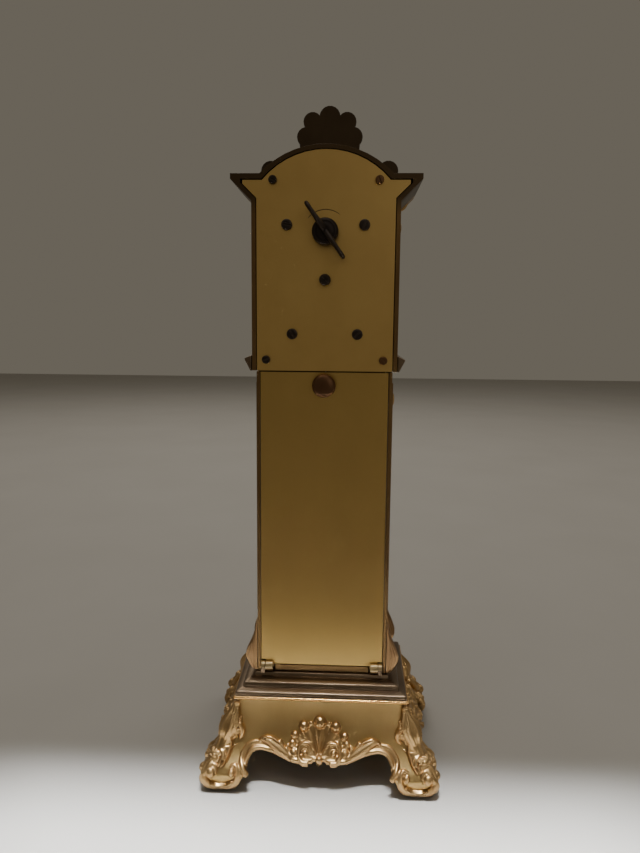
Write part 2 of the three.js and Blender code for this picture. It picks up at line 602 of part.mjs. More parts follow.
const CLICK = { x: KEY.x - 8.6, z: KEY.z - 2.8 };
function click() {
  const shape = outline([[-1, -0.8], [1, -1.2], [2.7, 2.2], [2.9, 3.4], [2, 3.4], [-0.3, 1]].map(([u, v]) =>
    [CLICK.x + u, CLICK.z + v]));
  return join(slabY(shape, RATCHET.y0, RATCHET.y1), rodY(CLICK, 1.1, RATCHET.y0, RATCHET.y1 + 0.8, 10));
}

add("barrel", barrel(), wheelBrass);
add("mainspring", mainspring(), steel);
add("barrel_arbor", barrelArbor(), steel);
add("winding_key", windingKey(), blackSteel);
add("click", click(), steel);

// ---- going train, from the barrel to the escape wheel
const arbor = (at, y0 = FRONT_PLATE.y0 + 0.3, y1 = REAR_PLATE.y1 - 0.3) => rodY(at, PIVOT, y0, y1, 10);
function trainWheel(at, teeth, mate, wheelY, driver, pinionY) {
  const [y0, y1] = [wheelY, wheelY + 0.8];
  const rim = (teeth * MODULE) / 2 - 1.1;
  const blank = wheel(at, teeth, MODULE, mate, y0, y1);
  const body = cut(blank, ...crossings(at, 1.6, rim, 4, y0, y1));
  const hub = rodY(at, 1.1, y0 - 0.4, y1 + 0.4, 10);
  return join(body, hub, pinion(at, TEETH.pinion, MODULE, driver, pinionY, pinionY + 2), arbor(at));
}

add("second_wheel", trainWheel(SECOND, TEETH.great, THIRD, -12.2, KEY, -4.3), wheelBrass);
add("third_wheel", trainWheel(THIRD, TEETH.great, CENTRE, -7.4, SECOND, -12.8), wheelBrass);
add("fourth_wheel", trainWheel(FOURTH, TEETH.fourth, ESCAPE, -6.9, CENTRE, -10.8), wheelBrass);

// The centre arbor carries the cannon pinion, the minute hand and, behind the back plate, the setting knob.
const CENTRE_ARBOR = [
  [0, -22.2], [0.8, -22.2], [0.8, -21.4], [1.1, -21.4], [1.1, -13], [0.7, -13], [0.7, -5.4], [1, -5.4],
  [1, 22], [0, 22],
];
add("centre_wheel", join(
  turnedY(CENTRE, CENTRE_ARBOR, 12),
  wheel(CENTRE, TEETH.centre, MODULE, FOURTH, -10.2, -9.4),
  pinion(CENTRE, TEETH.pinion, MODULE, THIRD, -8, -6),
  wheel(CENTRE, TEETH.cannon, CANNON_MODULE, MINUTE, -17, -16, PINION_FORM),
), wheelBrass);
add("setting_knob", cut(
  turnedY(CENTRE, [[0, 20.6], [1.9, 20.6], [2.7, 21.4], [2.7, 24.4], [2.2, 25], [0, 25]], 18),
  rodY(CENTRE, 1.3, 19, 22.4, 14),
), blackSteel);

const escapeShape = raked(ESCAPE, 15, [[3.9, 0], [5.1, 0.32], [5.1, 0.4], [3.9, 0.5]]);
add("escape_wheel", join(
  cut(slabY(escapeShape, -4.6, -3.8), ...crossings(ESCAPE, 1.4, 3.2, 3, -4.6, -3.8)),
  pinion(ESCAPE, TEETH.pinion, MODULE, FOURTH, -7.6, -5.6),
  arbor(ESCAPE),
), wheelBrass);

// Anchor: two pallets held just clear of the escape wheel, an arbor, and the upright pin behind the plate.
const PIN = { y: REAR_PLATE.y1 + 1.6, r: 0.35, z0: ANCHOR.z - 0.5, z1: ANCHOR.z + 7.4 };
function anchor() {
  const arm = mirrored([
    [0, -1.2], [2.4, -1], [7, 4.6], [6.6, 7], [5.9, 7.2], [5.6, 5.2], [2, 1.4], [0, 1.2],
  ]);
  const pallets = slabY(arm, -4.7, -3.7).translate(ANCHOR.x, 0, ANCHOR.z);
  const { r, z0, z1 } = PIN;
  const pin = turnedZ({ x: ANCHOR.x, y: PIN.y }, [[0, z0], [r, z0], [r, z1], [0, z1]], 8);
  return join(pallets, arbor(ANCHOR, FRONT_PLATE.y0 + 0.3, PIN.y), pin);
}
add("anchor", anchor(), steel);

// ---- motion work and hands
add("minute_wheel", join(
  wheel(MINUTE, TEETH.minute, CANNON_MODULE, CENTRE, -16.9, -16.1),
  wheel(MINUTE, TEETH.hourPinion, HOUR_MODULE, CENTRE, -18.3, -16.5, PINION_FORM),
  rodY(MINUTE, PIVOT, -18.4, FRONT_PLATE.y1 - 0.4, 10),
), wheelBrass);
add("hour_wheel", cut(
  join(wheel(CENTRE, TEETH.hour, HOUR_MODULE, MINUTE, -18.2, -17.4), rodY(CENTRE, 2.2, -21, -17.4, 16)),
  rodY(CENTRE, 1.45, -23, -16, 14),
), wheelBrass);

// A pierced hand that points up from the centre: a boss, a stem, a ring and a tip.
function hand(length, ringR, bossR, boreR, y0, y1) {
  const ringZ = CENTRE.z + length * 0.62;
  const tip = outline([[-0.9, ringZ + ringR - 0.3], [0.9, ringZ + ringR - 0.3], [0, CENTRE.z + length]]);
  const body = join(
    rodY(CENTRE, bossR, y0, y1, 16),
    box(-0.55, 0.55, y0, y1, CENTRE.z, ringZ - ringR + 0.3),
    rodY({ x: 0, z: ringZ }, ringR, y0, y1, 16),
    slabY(tip, y0, y1),
  );
  const ringHole = rodY({ x: 0, z: ringZ }, ringR - 0.8, y0 - 1, y1 + 1, 12);
  return cut(body, ringHole, rodY(CENTRE, boreR, y0 - 1, y1 + 1, 14));
}
const TEN_O_CLOCK = -Math.PI / 3;
const TEN_PAST = Math.PI / 3;
const turnedHand = (geometry, angle) =>
  geometry.translate(0, 0, -CENTRE.z).rotateY(angle).translate(0, 0, CENTRE.z);
add("hour_hand", turnedHand(hand(14, 2.4, 3.2, 2.5, -20.9, -20.4), TEN_O_CLOCK), handBlack);
add("minute_hand", turnedHand(hand(21.5, 2, 2.2, 1.1, -22, -21.6), TEN_PAST), handBlack);

// ---- suspension and torsion pendulum
const SPRING = { z0: 151.4, z1: 228.2 };
function saddle() {
  const y0 = REAR_PLATE.y1 + GAP;
  return join(
    box(-2.6, 2.6, y0, PENDULUM.y + 2.4, 231, 234),
    box(-2.6, 2.6, y0, y0 + 1.4, 231, 237.6),
    box(-1.4, 1.4, PENDULUM.y - 1, PENDULUM.y + 1, SPRING.z1 + GAP, 232),
  );
}
add("suspension_saddle", saddle(), wheelBrass);
const springBar = box(-0.35, 0.35, PENDULUM.y - 0.15, PENDULUM.y + 0.15, SPRING.z0, SPRING.z1);
add("suspension_spring", springBar, steel);

// A clamp on the suspension spring with two tines that straddle the anchor's pin.
function fork() {
  const block = box(-1.9, 1.9, PENDULUM.y - 1.3, PENDULUM.y + 1.3, 222.4, 224.4);
  const tines = [1, -1].map((s) =>
    box(s * 0.98 - 0.28, s * 0.98 + 0.28, PIN.y - 0.8, PENDULUM.y, 223, 223.8));
  const bore = turnedZ(PENDULUM, [[0, 220], [0.8, 220], [0.8, 226], [0, 226]], 12);
  return cut(join(block, ...tines), bore);
}
add("suspension_fork", fork(), wheelBrass);

// The pendulum's spindle: hook block, stem, crown, four arms with drops for the balls, and the lower disc.
const BALL = { r: 5, out: 9.2, z: 99 };
const ARM_Z = 111;
const ballPlaces = [0, 1, 2, 3].map((k) => {
  const angle = Math.PI / 4 + (k * Math.PI) / 2;
  return { x: PENDULUM.x + BALL.out * Math.cos(angle), y: PENDULUM.y + BALL.out * Math.sin(angle) };
});
const RATING = { z0: 114.2, z1: 116, r: 5.6, bore: 1.6 };
function spindle() {
  const stem = turnedZ(PENDULUM, [
    [0, 76.5], [0.7, 76.5], [0.9, 84], [8.6, 84], [9.4, 84.8], [9.4, 86], [8.6, 86.6], [2.2, 87.4],
    [1.2, 90], [1.2, 107], [3, 109], [3, 113.8], [1.2, 113.9], [1.2, 117], [3.2, 119], [4.6, 124.4],
    [3, 123.6], [1.3, 122.6], [1.1, 146], [0, 146],
  ], 12);
  const arms = [0, 1].map((k) =>
    new THREE.CylinderGeometry(0.9, 0.9, 2 * BALL.out + 1.8, 10)
      .rotateZ(Math.PI / 4 + (k * Math.PI) / 2)
      .translate(PENDULUM.x, PENDULUM.y, ARM_Z));
  const dropZ = BALL.z + BALL.r + GAP;
  const drops = ballPlaces.map((at) => turnedZ(at, [[0, dropZ], [0.8, dropZ], [0.8, ARM_Z], [0, ARM_Z]], 8));
  return join(stem, box(-1.5, 1.5, PENDULUM.y - 0.9, PENDULUM.y + 0.9, 145.6, 151), ...arms, ...drops);
}
add("pendulum_spindle", spindle(), wheelBrass);
add("rating_disc", cut(
  turnedZ(PENDULUM, [[0, RATING.z0], [RATING.r, RATING.z0], [RATING.r, RATING.z1], [0, RATING.z1]], 24),
  turnedZ(PENDULUM, [[0, 110], [RATING.bore, 110], [RATING.bore, 120], [0, 120]], 14),
), wheelBrass);
ballPlaces.forEach((at, i) => {
  const ball = new THREE.SphereGeometry(BALL.r, 12, 8).rotateX(Math.PI / 2).translate(at.x, at.y, BALL.z);
  add("pendulum_ball_" + (i + 1), ball, wheelBrass);
});

export default clock;
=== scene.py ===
"""The looks of a miniature brass longcase anniversary clock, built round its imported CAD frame.

Lengths in this script are millimetres until a mesh is made, and the axes are the frame's own: X across the
clock, -Y the dial side, +Y the winding side, Z up.
"""
import json
from contextlib import contextmanager
from math import asin, atan2, copysign, cos, exp, hypot, pi, radians, sin, sqrt

import bmesh
import bpy
import numpy as np
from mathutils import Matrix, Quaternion, Vector
from mathutils.geometry import delaunay_2d_cdt


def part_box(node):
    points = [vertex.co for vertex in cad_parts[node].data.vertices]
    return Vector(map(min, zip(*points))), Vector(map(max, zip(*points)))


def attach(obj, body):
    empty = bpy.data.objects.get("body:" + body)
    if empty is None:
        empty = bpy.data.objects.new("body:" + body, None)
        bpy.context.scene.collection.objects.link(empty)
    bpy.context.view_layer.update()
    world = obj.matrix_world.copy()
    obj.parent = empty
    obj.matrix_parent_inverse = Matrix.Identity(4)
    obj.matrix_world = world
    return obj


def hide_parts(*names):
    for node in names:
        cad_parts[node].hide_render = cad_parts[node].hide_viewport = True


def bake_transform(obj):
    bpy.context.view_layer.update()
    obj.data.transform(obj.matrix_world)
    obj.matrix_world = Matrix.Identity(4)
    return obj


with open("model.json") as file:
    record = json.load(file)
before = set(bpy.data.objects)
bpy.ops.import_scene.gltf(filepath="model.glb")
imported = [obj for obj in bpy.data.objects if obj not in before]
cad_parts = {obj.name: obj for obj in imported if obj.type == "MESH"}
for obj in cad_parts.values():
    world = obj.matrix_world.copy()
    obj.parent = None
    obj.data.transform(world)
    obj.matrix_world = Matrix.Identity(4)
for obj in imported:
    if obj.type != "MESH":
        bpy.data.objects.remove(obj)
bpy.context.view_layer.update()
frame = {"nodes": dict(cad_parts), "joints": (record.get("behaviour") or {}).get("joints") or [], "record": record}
MM = 0.001


def box_mm(node):
    """A CAD node's lowest and highest corner, in millimetres."""
    return tuple(np.array(corner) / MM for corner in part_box(node))


def round_circle(count):
    """The angles of so many even steps round a circle."""
    return [2 * pi * k / count for k in range(count)]


def about(arbor, r, a, y):
    """A point r from an arbor that lies along Y, at the angle a and the depth y."""
    return arbor[0] + r * cos(a), y, arbor[2] + r * sin(a)


# ---------- sizes, read from the frame
HALF_X, HALF_Y, TRUNK_TOP = box_mm("trunk_case")[1]
_, DOOR_Y, DOOR_FOOT = box_mm("rear_door")[0]
PLATE_Y = box_mm("hood_back_plate")[1][1]
BASE_TOP = box_mm("base_casting")[1][2]
JOINT_AT = {j["name"]: np.array(j.get("pos_m", (0, 0, 0))) / MM for j in frame["joints"]}
CENTRE = JOINT_AT["centre_turn"]
KEY = JOINT_AT["winding_turn"]
AXIS = JOINT_AT["pendulum_swing"]
HINGE_Z = JOINT_AT["door_drop"][2]


# ---------- materials
EVEN = (1, 1, 1)
UPRIGHT = (6.0, 6.0, 0.08)  # fine noise drawn out along Z
ACROSS = (0.08, 6.0, 6.0)  # and along X


def blank(name):
    """A new material with its node tree and its shader."""
    material = bpy.data.materials.new(name)
    material.use_nodes = True
    return material, material.node_tree, material.node_tree.nodes["Principled BSDF"]


def node_of(tree, kind, **values):
    """A shader node with its inputs set by socket name."""
    node = tree.nodes.new(kind)
    for key, value in values.items():
        node.inputs[key.replace("_", " ")].default_value = value
    return node


def noise_at(tree, stretch, scale, detail=4.0):
    """Noise over the object's own coordinates, stretched by a factor along each axis."""
    place = tree.nodes.new("ShaderNodeTexCoord")
    mapping = node_of(tree, "ShaderNodeMapping", Scale=stretch)
    noise = node_of(tree, "ShaderNodeTexNoise", Scale=scale, Detail=detail)
    tree.links.new(place.outputs["Object"], mapping.inputs["Vector"])
    tree.links.new(mapping.outputs["Vector"], noise.inputs["Vector"])
    return noise.outputs["Fac"]


def spread(tree, value, low, high, to_low, to_high):
    """Maps low..high onto to_low..to_high."""
    node = node_of(tree, "ShaderNodeMapRange", From_Min=low, From_Max=high, To_Min=to_low, To_Max=to_high)
    tree.links.new(value, node.inputs["Value"])
    return node.outputs["Result"]


def mottle(tree, scale, low, high, to_low, to_high):
    """Even noise, spread over a range of its own."""
    return spread(tree, noise_at(tree, EVEN, scale), low, high, to_low, to_high)


def mixed(tree, share, a, b):
    """A colour between a and b, which are colours or sockets."""
    node = tree.nodes.new("ShaderNodeMix")
    node.data_type = "RGBA"
    for socket, value in (("A_Color", a), ("B_Color", b)):
        target = next(s for s in node.inputs if s.identifier == socket)
        if isinstance(value, tuple):
            target.default_value = (*value, 1)
        else:
            tree.links.new(value, target)
    tree.links.new(share, next(s for s in node.inputs if s.identifier == "Factor_Float"))
    return next(s for s in node.outputs if s.identifier == "Result_Color")


def metal(name, clean, tarnish, rough, *, grain=None, bump=0.05, worn=None, pits=1400.0, blotch=45.0,
          painted_shade=None):
    """A metal with tarnish in soft blotches, uneven gloss, and a grain or a cast skin.

    grain stretches the fine noise into brushing, worn is the colour of rubbed edges, and the last argument is two
    heights in metres and a shade colour, painted in full at the second height: painted shade.
    """
    material, tree, shader = blank(name)
    link = tree.links.new
    shader.inputs["Metallic"].default_value = 1.0
    cloud = spread(tree, noise_at(tree, (1, 1, 0.6), blotch), 0.35, 0.7, 0, 1)
    colour = mixed(tree, cloud, clean, tarnish)
    if worn:
        geometry = tree.nodes.new("ShaderNodeNewGeometry")
        edge = spread(tree, geometry.outputs["Pointiness"], 0.5, 0.6, 0, 0.7)
        hollow = spread(tree, geometry.outputs["Pointiness"], 0.42, 0.5, 0.6, 0)
        colour = mixed(tree, edge, colour, worn)
        colour = mixed(tree, hollow, colour, tuple(c * 0.4 for c in tarnish))
    # Painted shade: the colour darkens towards a shade colour between two heights of the object.
    if painted_shade:
        clear, shade_full_at, dark = painted_shade
        split = tree.nodes.new("ShaderNodeSeparateXYZ")
        link(tree.nodes.new("ShaderNodeTexCoord").outputs["Object"], split.inputs["Vector"])
        colour = mixed(tree, spread(tree, split.outputs["Z"], clear, shade_full_at, 0, 1), colour, dark)
    link(colour, shader.inputs["Base Color"])
    fine = noise_at(tree, grain or EVEN, pits, 3.0 if grain else 6.0)
    swing = 0.018 if grain else 0.05
    smudge = noise_at(tree, EVEN, blotch * 2.4)
    gloss = node_of(tree, "ShaderNodeMath")
    gloss.operation = "ADD"
    link(spread(tree, fine, 0.3, 0.7, rough - swing, rough + swing), gloss.inputs[0])
    link(spread(tree, smudge, 0.3, 0.7, -0.8 * swing, 1.2 * swing), gloss.inputs[1])
    link(gloss.outputs["Value"], shader.inputs["Roughness"])
    relief = node_of(tree, "ShaderNodeBump", Strength=bump, Distance=0.0002)
    link(fine, relief.inputs["Height"])
    link(relief.outputs["Normal"], shader.inputs["Normal"])
    return material


def enamel(name, colour, rough):
    """A thin matt or satin coat with a slight mottle."""
    material, tree, shader = blank(name)
    cloud = mottle(tree, 120.0, 0.35, 0.65, 0, 1)
    tree.links.new(mixed(tree, cloud, colour, tuple(c * 0.86 for c in colour)), shader.inputs["Base Color"])
    tree.links.new(mottle(tree, 900.0, 0.3, 0.7, rough - 0.06, rough + 0.06),
                   shader.inputs["Roughness"])
    return material


def clear_glass():
    """Thin glass with a trace of wipe marks."""
    material, tree, shader = blank("clear_glass")
    shader.inputs["Base Color"].default_value = (0.95, 0.98, 0.97, 1)
    shader.inputs["Transmission Weight"].default_value = 1.0
    shader.inputs["IOR"].default_value = 1.45
    tree.links.new(mottle(tree, 60.0, 0.3, 0.7, 0.0, 0.03), shader.inputs["Roughness"])
    return material


PLATE = metal("satin_brass", (0.64, 0.43, 0.145), (0.6, 0.4, 0.135), 0.31, grain=UPRIGHT, bump=0.004,
              pits=700.0)
# A lighter copy of the satin brass, for the hood's rear plate: painted light.
LIT_HOOD_PLATE = metal("hood_plate_brass_painted_light", (0.78, 0.53, 0.19), (0.74, 0.49, 0.175), 0.31, grain=UPRIGHT, bump=0.004,
                   pits=700.0)
CASE = metal("case_brass", (0.27, 0.165, 0.07), (0.18, 0.105, 0.045), 0.38, grain=UPRIGHT, bump=0.03)
# The case brass again, with painted shade that darkens it above 269 mm, at the hood's top.
HOOD_CASE_SHADED_TOP = metal("hood_case_brass_painted_shade", (0.27, 0.165, 0.07), (0.18, 0.105, 0.045), 0.38, grain=UPRIGHT, bump=0.03,
                  painted_shade=(0.269, 0.277, (0.1, 0.066, 0.036)))
GROUND = metal("cast_ground", (0.6, 0.41, 0.17), (0.5, 0.335, 0.13), 0.36, bump=0.06, pits=900.0)
# The cast relief, with a painted contact shadow that darkens it below 4.5 mm, towards the ground.
CAST = metal("cast_relief", (0.58, 0.375, 0.165), (0.4, 0.245, 0.1), 0.33, bump=0.05, worn=(0.72, 0.5, 0.27),
             painted_shade=(0.0045, 0.0008, (0.22, 0.145, 0.085)))
# A darker copy of the cast brass, with rubbed edges: painted shade for the trunk's leaves, the front cornice and
# the crest.
SHADED_CAST = metal("cast_brass_painted_shade", (0.34, 0.2, 0.095), (0.2, 0.115, 0.055), 0.34, bump=0.08,
                  worn=(0.5, 0.32, 0.16))
# A dark bronze for the mouldings. The trunk's rail under the door and the hinge lugs' lower faces take it as
# painted shade.
MOULDING_AND_SHADE = metal("moulding_bronze_and_shade", (0.25, 0.18, 0.115), (0.16, 0.11, 0.07), 0.34, grain=ACROSS, bump=0.03)
FILLET = metal("fillet_brass", (0.78, 0.45, 0.16), (0.62, 0.34, 0.11), 0.24, grain=ACROSS, bump=0.03)
HINGE = metal("hinge_brass", (0.58, 0.43, 0.21), (0.42, 0.3, 0.14), 0.3, bump=0.06, worn=(0.72, 0.56, 0.32))
WHEEL = metal("wheel_brass", (0.8, 0.6, 0.26), (0.66, 0.46, 0.18), 0.2, bump=0.02)
SHADOWED = metal("shadowed_bronze", (0.085, 0.058, 0.034), (0.05, 0.034, 0.02), 0.46, bump=0.06)
KNOB = metal("knob_bronze", (0.19, 0.1, 0.052), (0.12, 0.06, 0.032), 0.4, bump=0.08, worn=(0.27, 0.155, 0.08))
BLACKED = metal("black_steel", (0.045, 0.036, 0.032), (0.025, 0.02, 0.018), 0.42, bump=0.1,
                worn=(0.14, 0.11, 0.09))
STEEL = metal("steel", (0.56, 0.56, 0.57), (0.42, 0.42, 0.43), 0.26, bump=0.03)
SILVERED = metal("silvered", (0.8, 0.78, 0.7), (0.7, 0.67, 0.58), 0.42, bump=0.04, pits=2500.0)
INK = enamel("dial_black", (0.012, 0.011, 0.01), 0.45)
GLASS = clear_glass()
MATERIAL_OF_SLOT = {
    "satin_brass": PLATE, "case_brass": CASE, "cast_brass": CAST, "wheel_brass": WHEEL, "bronze": KNOB,
    "black_steel": BLACKED, "steel": STEEL, "silvered": SILVERED, "hand_black": INK, "clear_glass": GLASS,
}
SLOT_OF_NODE = {part["node"]: part["material_slot"] for part in frame["record"]["subparts"]}


# ---------- curves and meshes
def in_scene(name, data):
    """A new object with this data, linked into the scene."""
    thing = bpy.data.objects.new(name, data)
    bpy.context.scene.collection.objects.link(thing)
    return thing


@contextmanager
def reworked(mesh):
    """A mesh's bmesh, which is written back to it at the end."""
    made = bmesh.new()
    made.from_mesh(mesh)
    yield made
    made.to_mesh(mesh)
    made.free()


def eased(thing, bevel, degrees):
    """Rounds the edges that are sharper than an angle."""
    step = thing.modifiers.new("edges", "BEVEL")
    step.width, step.segments, step.limit_method = bevel * MM, 2, "ANGLE"
    step.angle_limit = radians(degrees)
    return step


def flowing(points, per_span=6):
    """Rows of numbers along a smooth curve through the given rows."""
    rows = np.array(points, float)
    padded = np.vstack([2 * rows[0] - rows[1], rows, 2 * rows[-1] - rows[-2]])
    out = []
    for i in range(1, len(padded) - 2):
        a, b, c, d = padded[i - 1:i + 3]
        for k in range(per_span):
            t = k / per_span
            out.append(0.5 * (2 * b + (c - a) * t + (2 * a - 5 * b + 4 * c - d) * t * t
                              + (3 * b - a - 3 * c + d) * t ** 3))
    return np.array(out + [rows[-1]])


class Shape:
    """Vertices and faces that become one piece. Each face remembers its place in the list of materials."""

    def __init__(self):
        self.verts, self.faces, self.slots = [], [], []

    def add(self, verts, faces):
        """Adds vertices and the faces between them."""
        start = len(self.verts)
        self.verts.extend(np.asarray(v, float) for v in verts)
        self.faces.extend([start + i for i in face] for face in faces)
        self.slots.extend([0] * len(faces))

    def rings(self, rings):
        """Skins a list of rings, each with the same count of points, and caps both ends."""
        count = len(rings[0])
        faces = [[i * count + k, i * count + (k + 1) % count, (i + 1) * count + (k + 1) % count,
                  (i + 1) * count + k] for i in range(len(rings) - 1) for k in range(count)]
        last = (len(rings) - 1) * count
        faces += [list(range(count))[::-1], [last + k for k in range(count)]]
        self.add([p for ring in rings for p in ring], faces)

    def hoop(self, rings, slot_of=None):
        """Skins a list of rings and joins the last to the first. slot_of gives a material for rings i and j."""
        start, count = len(self.verts), len(rings[0])
        self.verts.extend(np.asarray(p, float) for ring in rings for p in ring)
        for i in range(len(rings)):
            j = (i + 1) % len(rings)
            for k in range(count):
                m = (k + 1) % count
                self.faces.append([start + n for n in (i * count + k, i * count + m, j * count + m,
                                                       j * count + k)])
                self.slots.append(slot_of(i, j) if slot_of else 0)

    def piece(self, name, materials, body="root", *, replaces=(), slot=None, bevel=0.0, angle=32, remesh=0.0,
              smooth_steps=0):
        """Makes the object, in metres, hangs it on the body it rides on, and hides the nodes that it stands for.
        """
        mesh = bpy.data.meshes.new(name)
        mesh.from_pydata([tuple(v * MM) for v in self.verts], [], self.faces)
        for material in materials:
            mesh.materials.append(material)
        mesh.polygons.foreach_set("material_index", self.slots)
        with reworked(mesh) as made:
            bmesh.ops.remove_doubles(made, verts=made.verts, dist=0.004 * MM)
            bmesh.ops.recalc_face_normals(made, faces=made.faces)
        thing = in_scene(name, mesh)
        if remesh:
            step = thing.modifiers.new("fuse", "REMESH")
            step.mode, step.voxel_size, step.use_smooth_shade = "VOXEL", remesh * MM, True
        if smooth_steps:
            step = thing.modifiers.new("soften", "SMOOTH")
            step.factor, step.iterations = 0.5, smooth_steps
        if bevel:
            eased(thing, bevel, 28).harden_normals = True
        return dressed(thing, body, replaces, slot, angle)


def dressed(thing, body, replaces, slot=None, angle=32):
    """Shades a piece smooth below an angle, hangs it on its body, and hides the nodes that it replaces."""
    mesh = thing.data
    mesh.polygons.foreach_set("use_smooth", [True] * len(mesh.polygons))
    mesh.set_sharp_from_angle(angle=radians(angle))
    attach(thing, body)
    if replaces:
        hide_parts(*replaces)
        slot = slot or SLOT_OF_NODE[replaces[0]]
    return thing


def profile_of(*parts, per_span=4):
    """The rows of a profile: a tuple is a point, and a list is points that a smooth curve runs through."""
    rows = []
    for part in parts:
        rows += flowing(part, per_span).tolist() if isinstance(part, list) else [part]
    return rows


def turned(shape, profile, at, axis="z", sides=48):
    """A turned form: profile rows are (radius, distance along the axis)."""
    rings = []
    for radius, along in profile:
        ring = []
        for a in round_circle(sides):
            u, v = max(radius, 0.001) * cos(a), max(radius, 0.001) * sin(a)
            ring.append((at[0] + u, at[1] + v, along) if axis == "z" else (at[0] + u, along, at[2] - v))
        rings.append(ring)
    shape.rings(rings)


def refined(node, bevel, material=None):
    """A copy of a CAD node with its flat facets joined up and its edges eased."""
    source = frame["nodes"][node]
    mesh = source.data.copy()
    mesh.transform(source.matrix_world)
    with reworked(mesh) as made:
        bmesh.ops.remove_doubles(made, verts=made.verts, dist=0.002 * MM)
        bmesh.ops.dissolve_limit(made, angle_limit=radians(0.5), verts=made.verts, edges=made.edges)
    thing = in_scene(node + "_finish", mesh)
    mesh.materials.clear()
    mesh.materials.append(material or MATERIAL_OF_SLOT[SLOT_OF_NODE[node]])
    eased(thing, bevel, 30)
    body = next(name for name, nodes in frame["record"]["behaviour"]["bodies"].items() if node in nodes)
    return dressed(thing, body, [node])


# ---------- walls, as flat maps
# A wall is seen from outside: u runs across it, z up, and out is the height above its surface. Walls are
# numbered by quarter turns from the rear one: 0 rear, 1 left (+X), 2 front, 3 right (-X).
REAR, LEFT, FRONT, RIGHT = range(4)


def placed(side, u, n, z):
    """World coordinates of a point u along a wall and n out from the clock's axis."""
    return np.array([(u, n, z), (n, -u, z), (-u, -n, z), (-n, u, z)][side])


CORNER_R = 3.2  # the casting's rounded corners
# How far the skirt spreads beyond the trunk, as (z, spread).
FLARE = flowing([(0, 20), (2, 22.2), (5, 23.4), (8, 23.4), (11, 21.9), (14, 19.2), (17.5, 16.4), (21.5, 14),
                 (26, 12.3), (31, 10.8), (35, 9.9), (37.4, 9.5), (BASE_TOP, 9.2)])


def base_half(side, z):
    """Half the width of the skirt's wall at z, and its distance out from the axis."""
    along, across = (HALF_X, HALF_Y) if side in (REAR, FRONT) else (HALF_Y, HALF_X)
    grow = np.interp(z, FLARE[:, 0], FLARE[:, 1])
    return along + grow, across + grow


def on_base(side, u, z, out):
    """A point on the flared skirt. Past the end of the wall, u goes on round the rounded corner."""
    half, reach = base_half(side, z)
    lean = (base_half(side, z + 0.4)[1] - base_half(side, z - 0.4)[1]) / 0.8
    normal = 1 / hypot(1, lean)
    flat, rise = out * normal, -out * lean * normal
    straight = half - CORNER_R
    turn = max(abs(u) - straight, 0) / CORNER_R
    if turn:
        across = straight + (CORNER_R + flat) * sin(turn)
        away = reach - CORNER_R + (CORNER_R + flat) * cos(turn)
    else:
        across, away = abs(u), reach + flat
    return placed(side, copysign(across, u), away, z + rise)


def corner_u(side, z):
    """u at the very corner of the skirt."""
    return base_half(side, z)[0] - CORNER_R + CORNER_R * pi / 4


class Carving:
    """Raised ornament for a shape, drawn on a surface: a function that places u, z and the height above it."""

    SINK = 0.7  # how far a stroke is rooted below the surface
    THINNEST = 0.06

    def __init__(self, shape, surface):
        self.shape, self.surface = shape, surface

    def stroke(self, path, arc=8):
        """A half-round bead, smooth through rows of (u, z, half width, height)."""
        rows = flowing(path, 5)
        rows[:, 2:] = np.maximum(rows[:, 2:], self.THINNEST)
        along = np.gradient(rows[:, :2], axis=0)
        along /= np.maximum(np.linalg.norm(along, axis=1, keepdims=True), 1e-6)
        rings = []
        for (u, z, wide, high), (du, dz) in zip(rows, along):
            ring = []
            for k in range(arc + 1):
                a = pi * k / arc
                aside = wide * cos(a)
                ring.append(self.surface(u - dz * aside, z + du * aside, high * sin(a)))
            for foot in (-0.8 * wide, 0.8 * wide):
                ring.append(self.surface(u - dz * foot, z + du * foot, -self.SINK))
            rings.append(ring)
        self.shape.rings(rings)

    def strokes(self, *paths):
        """Several strokes, one after the other."""
        for path in paths:
            self.stroke(path)

    def bead(self, u, z, radius, high):
        """A ball that stands half out of the surface."""
        rings = []
        for i in range(7):
            a = pi * i / 6
            r, lift = max(radius * sin(a), 0.03), -high * cos(a)
            rings.append([self.surface(u + r * cos(t), z + r * sin(t), 0.12 * high + lift * 0.88)
                          for t in round_circle(12)])
        self.shape.rings(rings)

    def volute(self, centre, start, turns, wide, high, *, hand=1, eye=1.25):
        """A scroll that winds inwards from the point start round centre, with a ball at its eye."""
        cu, cz = centre
        r0 = hypot(start[0] - cu, start[1] - cz)
        a0 = atan2(start[1] - cz, start[0] - cu)
        count = int(7 * turns) + 3
        path = []
        for k in range(count):
            t = k / (count - 1)
            r, a = r0 * (1 - 0.62 * t), a0 + hand * t * turns * 2 * pi
            path.append((cu + r * cos(a), cz + r * sin(a), wide * (1 - 0.5 * t), high * (1 - 0.25 * t)))
        self.stroke(path)
        self.bead(cu, cz, eye, high * 1.25)

    def scrollwork(self, u, z, size, hand=1, lean=1):
        """A small pair of scrolls with a leaf between, the casting's repeated motif."""
        def rows(*shares):
            """Rows for a stroke from rows that are shares of the motif's size, mirrored as it is."""
            return [(u + hand * a * size, z + lean * b * size, c * size, d * size) for a, b, c, d in shares]

        self.stroke(rows((-0.2, -1.1, 0.1, 0.15), (0.25, -0.5, 0.2, 0.3), (0.1, 0.2, 0.24, 0.34),
                         (-0.3, 0.7, 0.16, 0.26)))
        self.volute((u + hand * 0.42 * size, z + lean * 0.62 * size),
                    (u + hand * 0.1 * size, z + lean * 0.3 * size), 1.0, 0.14 * size, 0.27 * size,
                    hand=-hand * lean, eye=0.15 * size)
        for k in range(3):
            t = 0.32 * k
            self.stroke(rows((0.1 - 0.05 * k, t - 0.75, 0.09, 0.15), (-0.28, t - 0.5, 0.15, 0.24),
                             (-0.52, t - 0.12, 0.06, 0.1)))


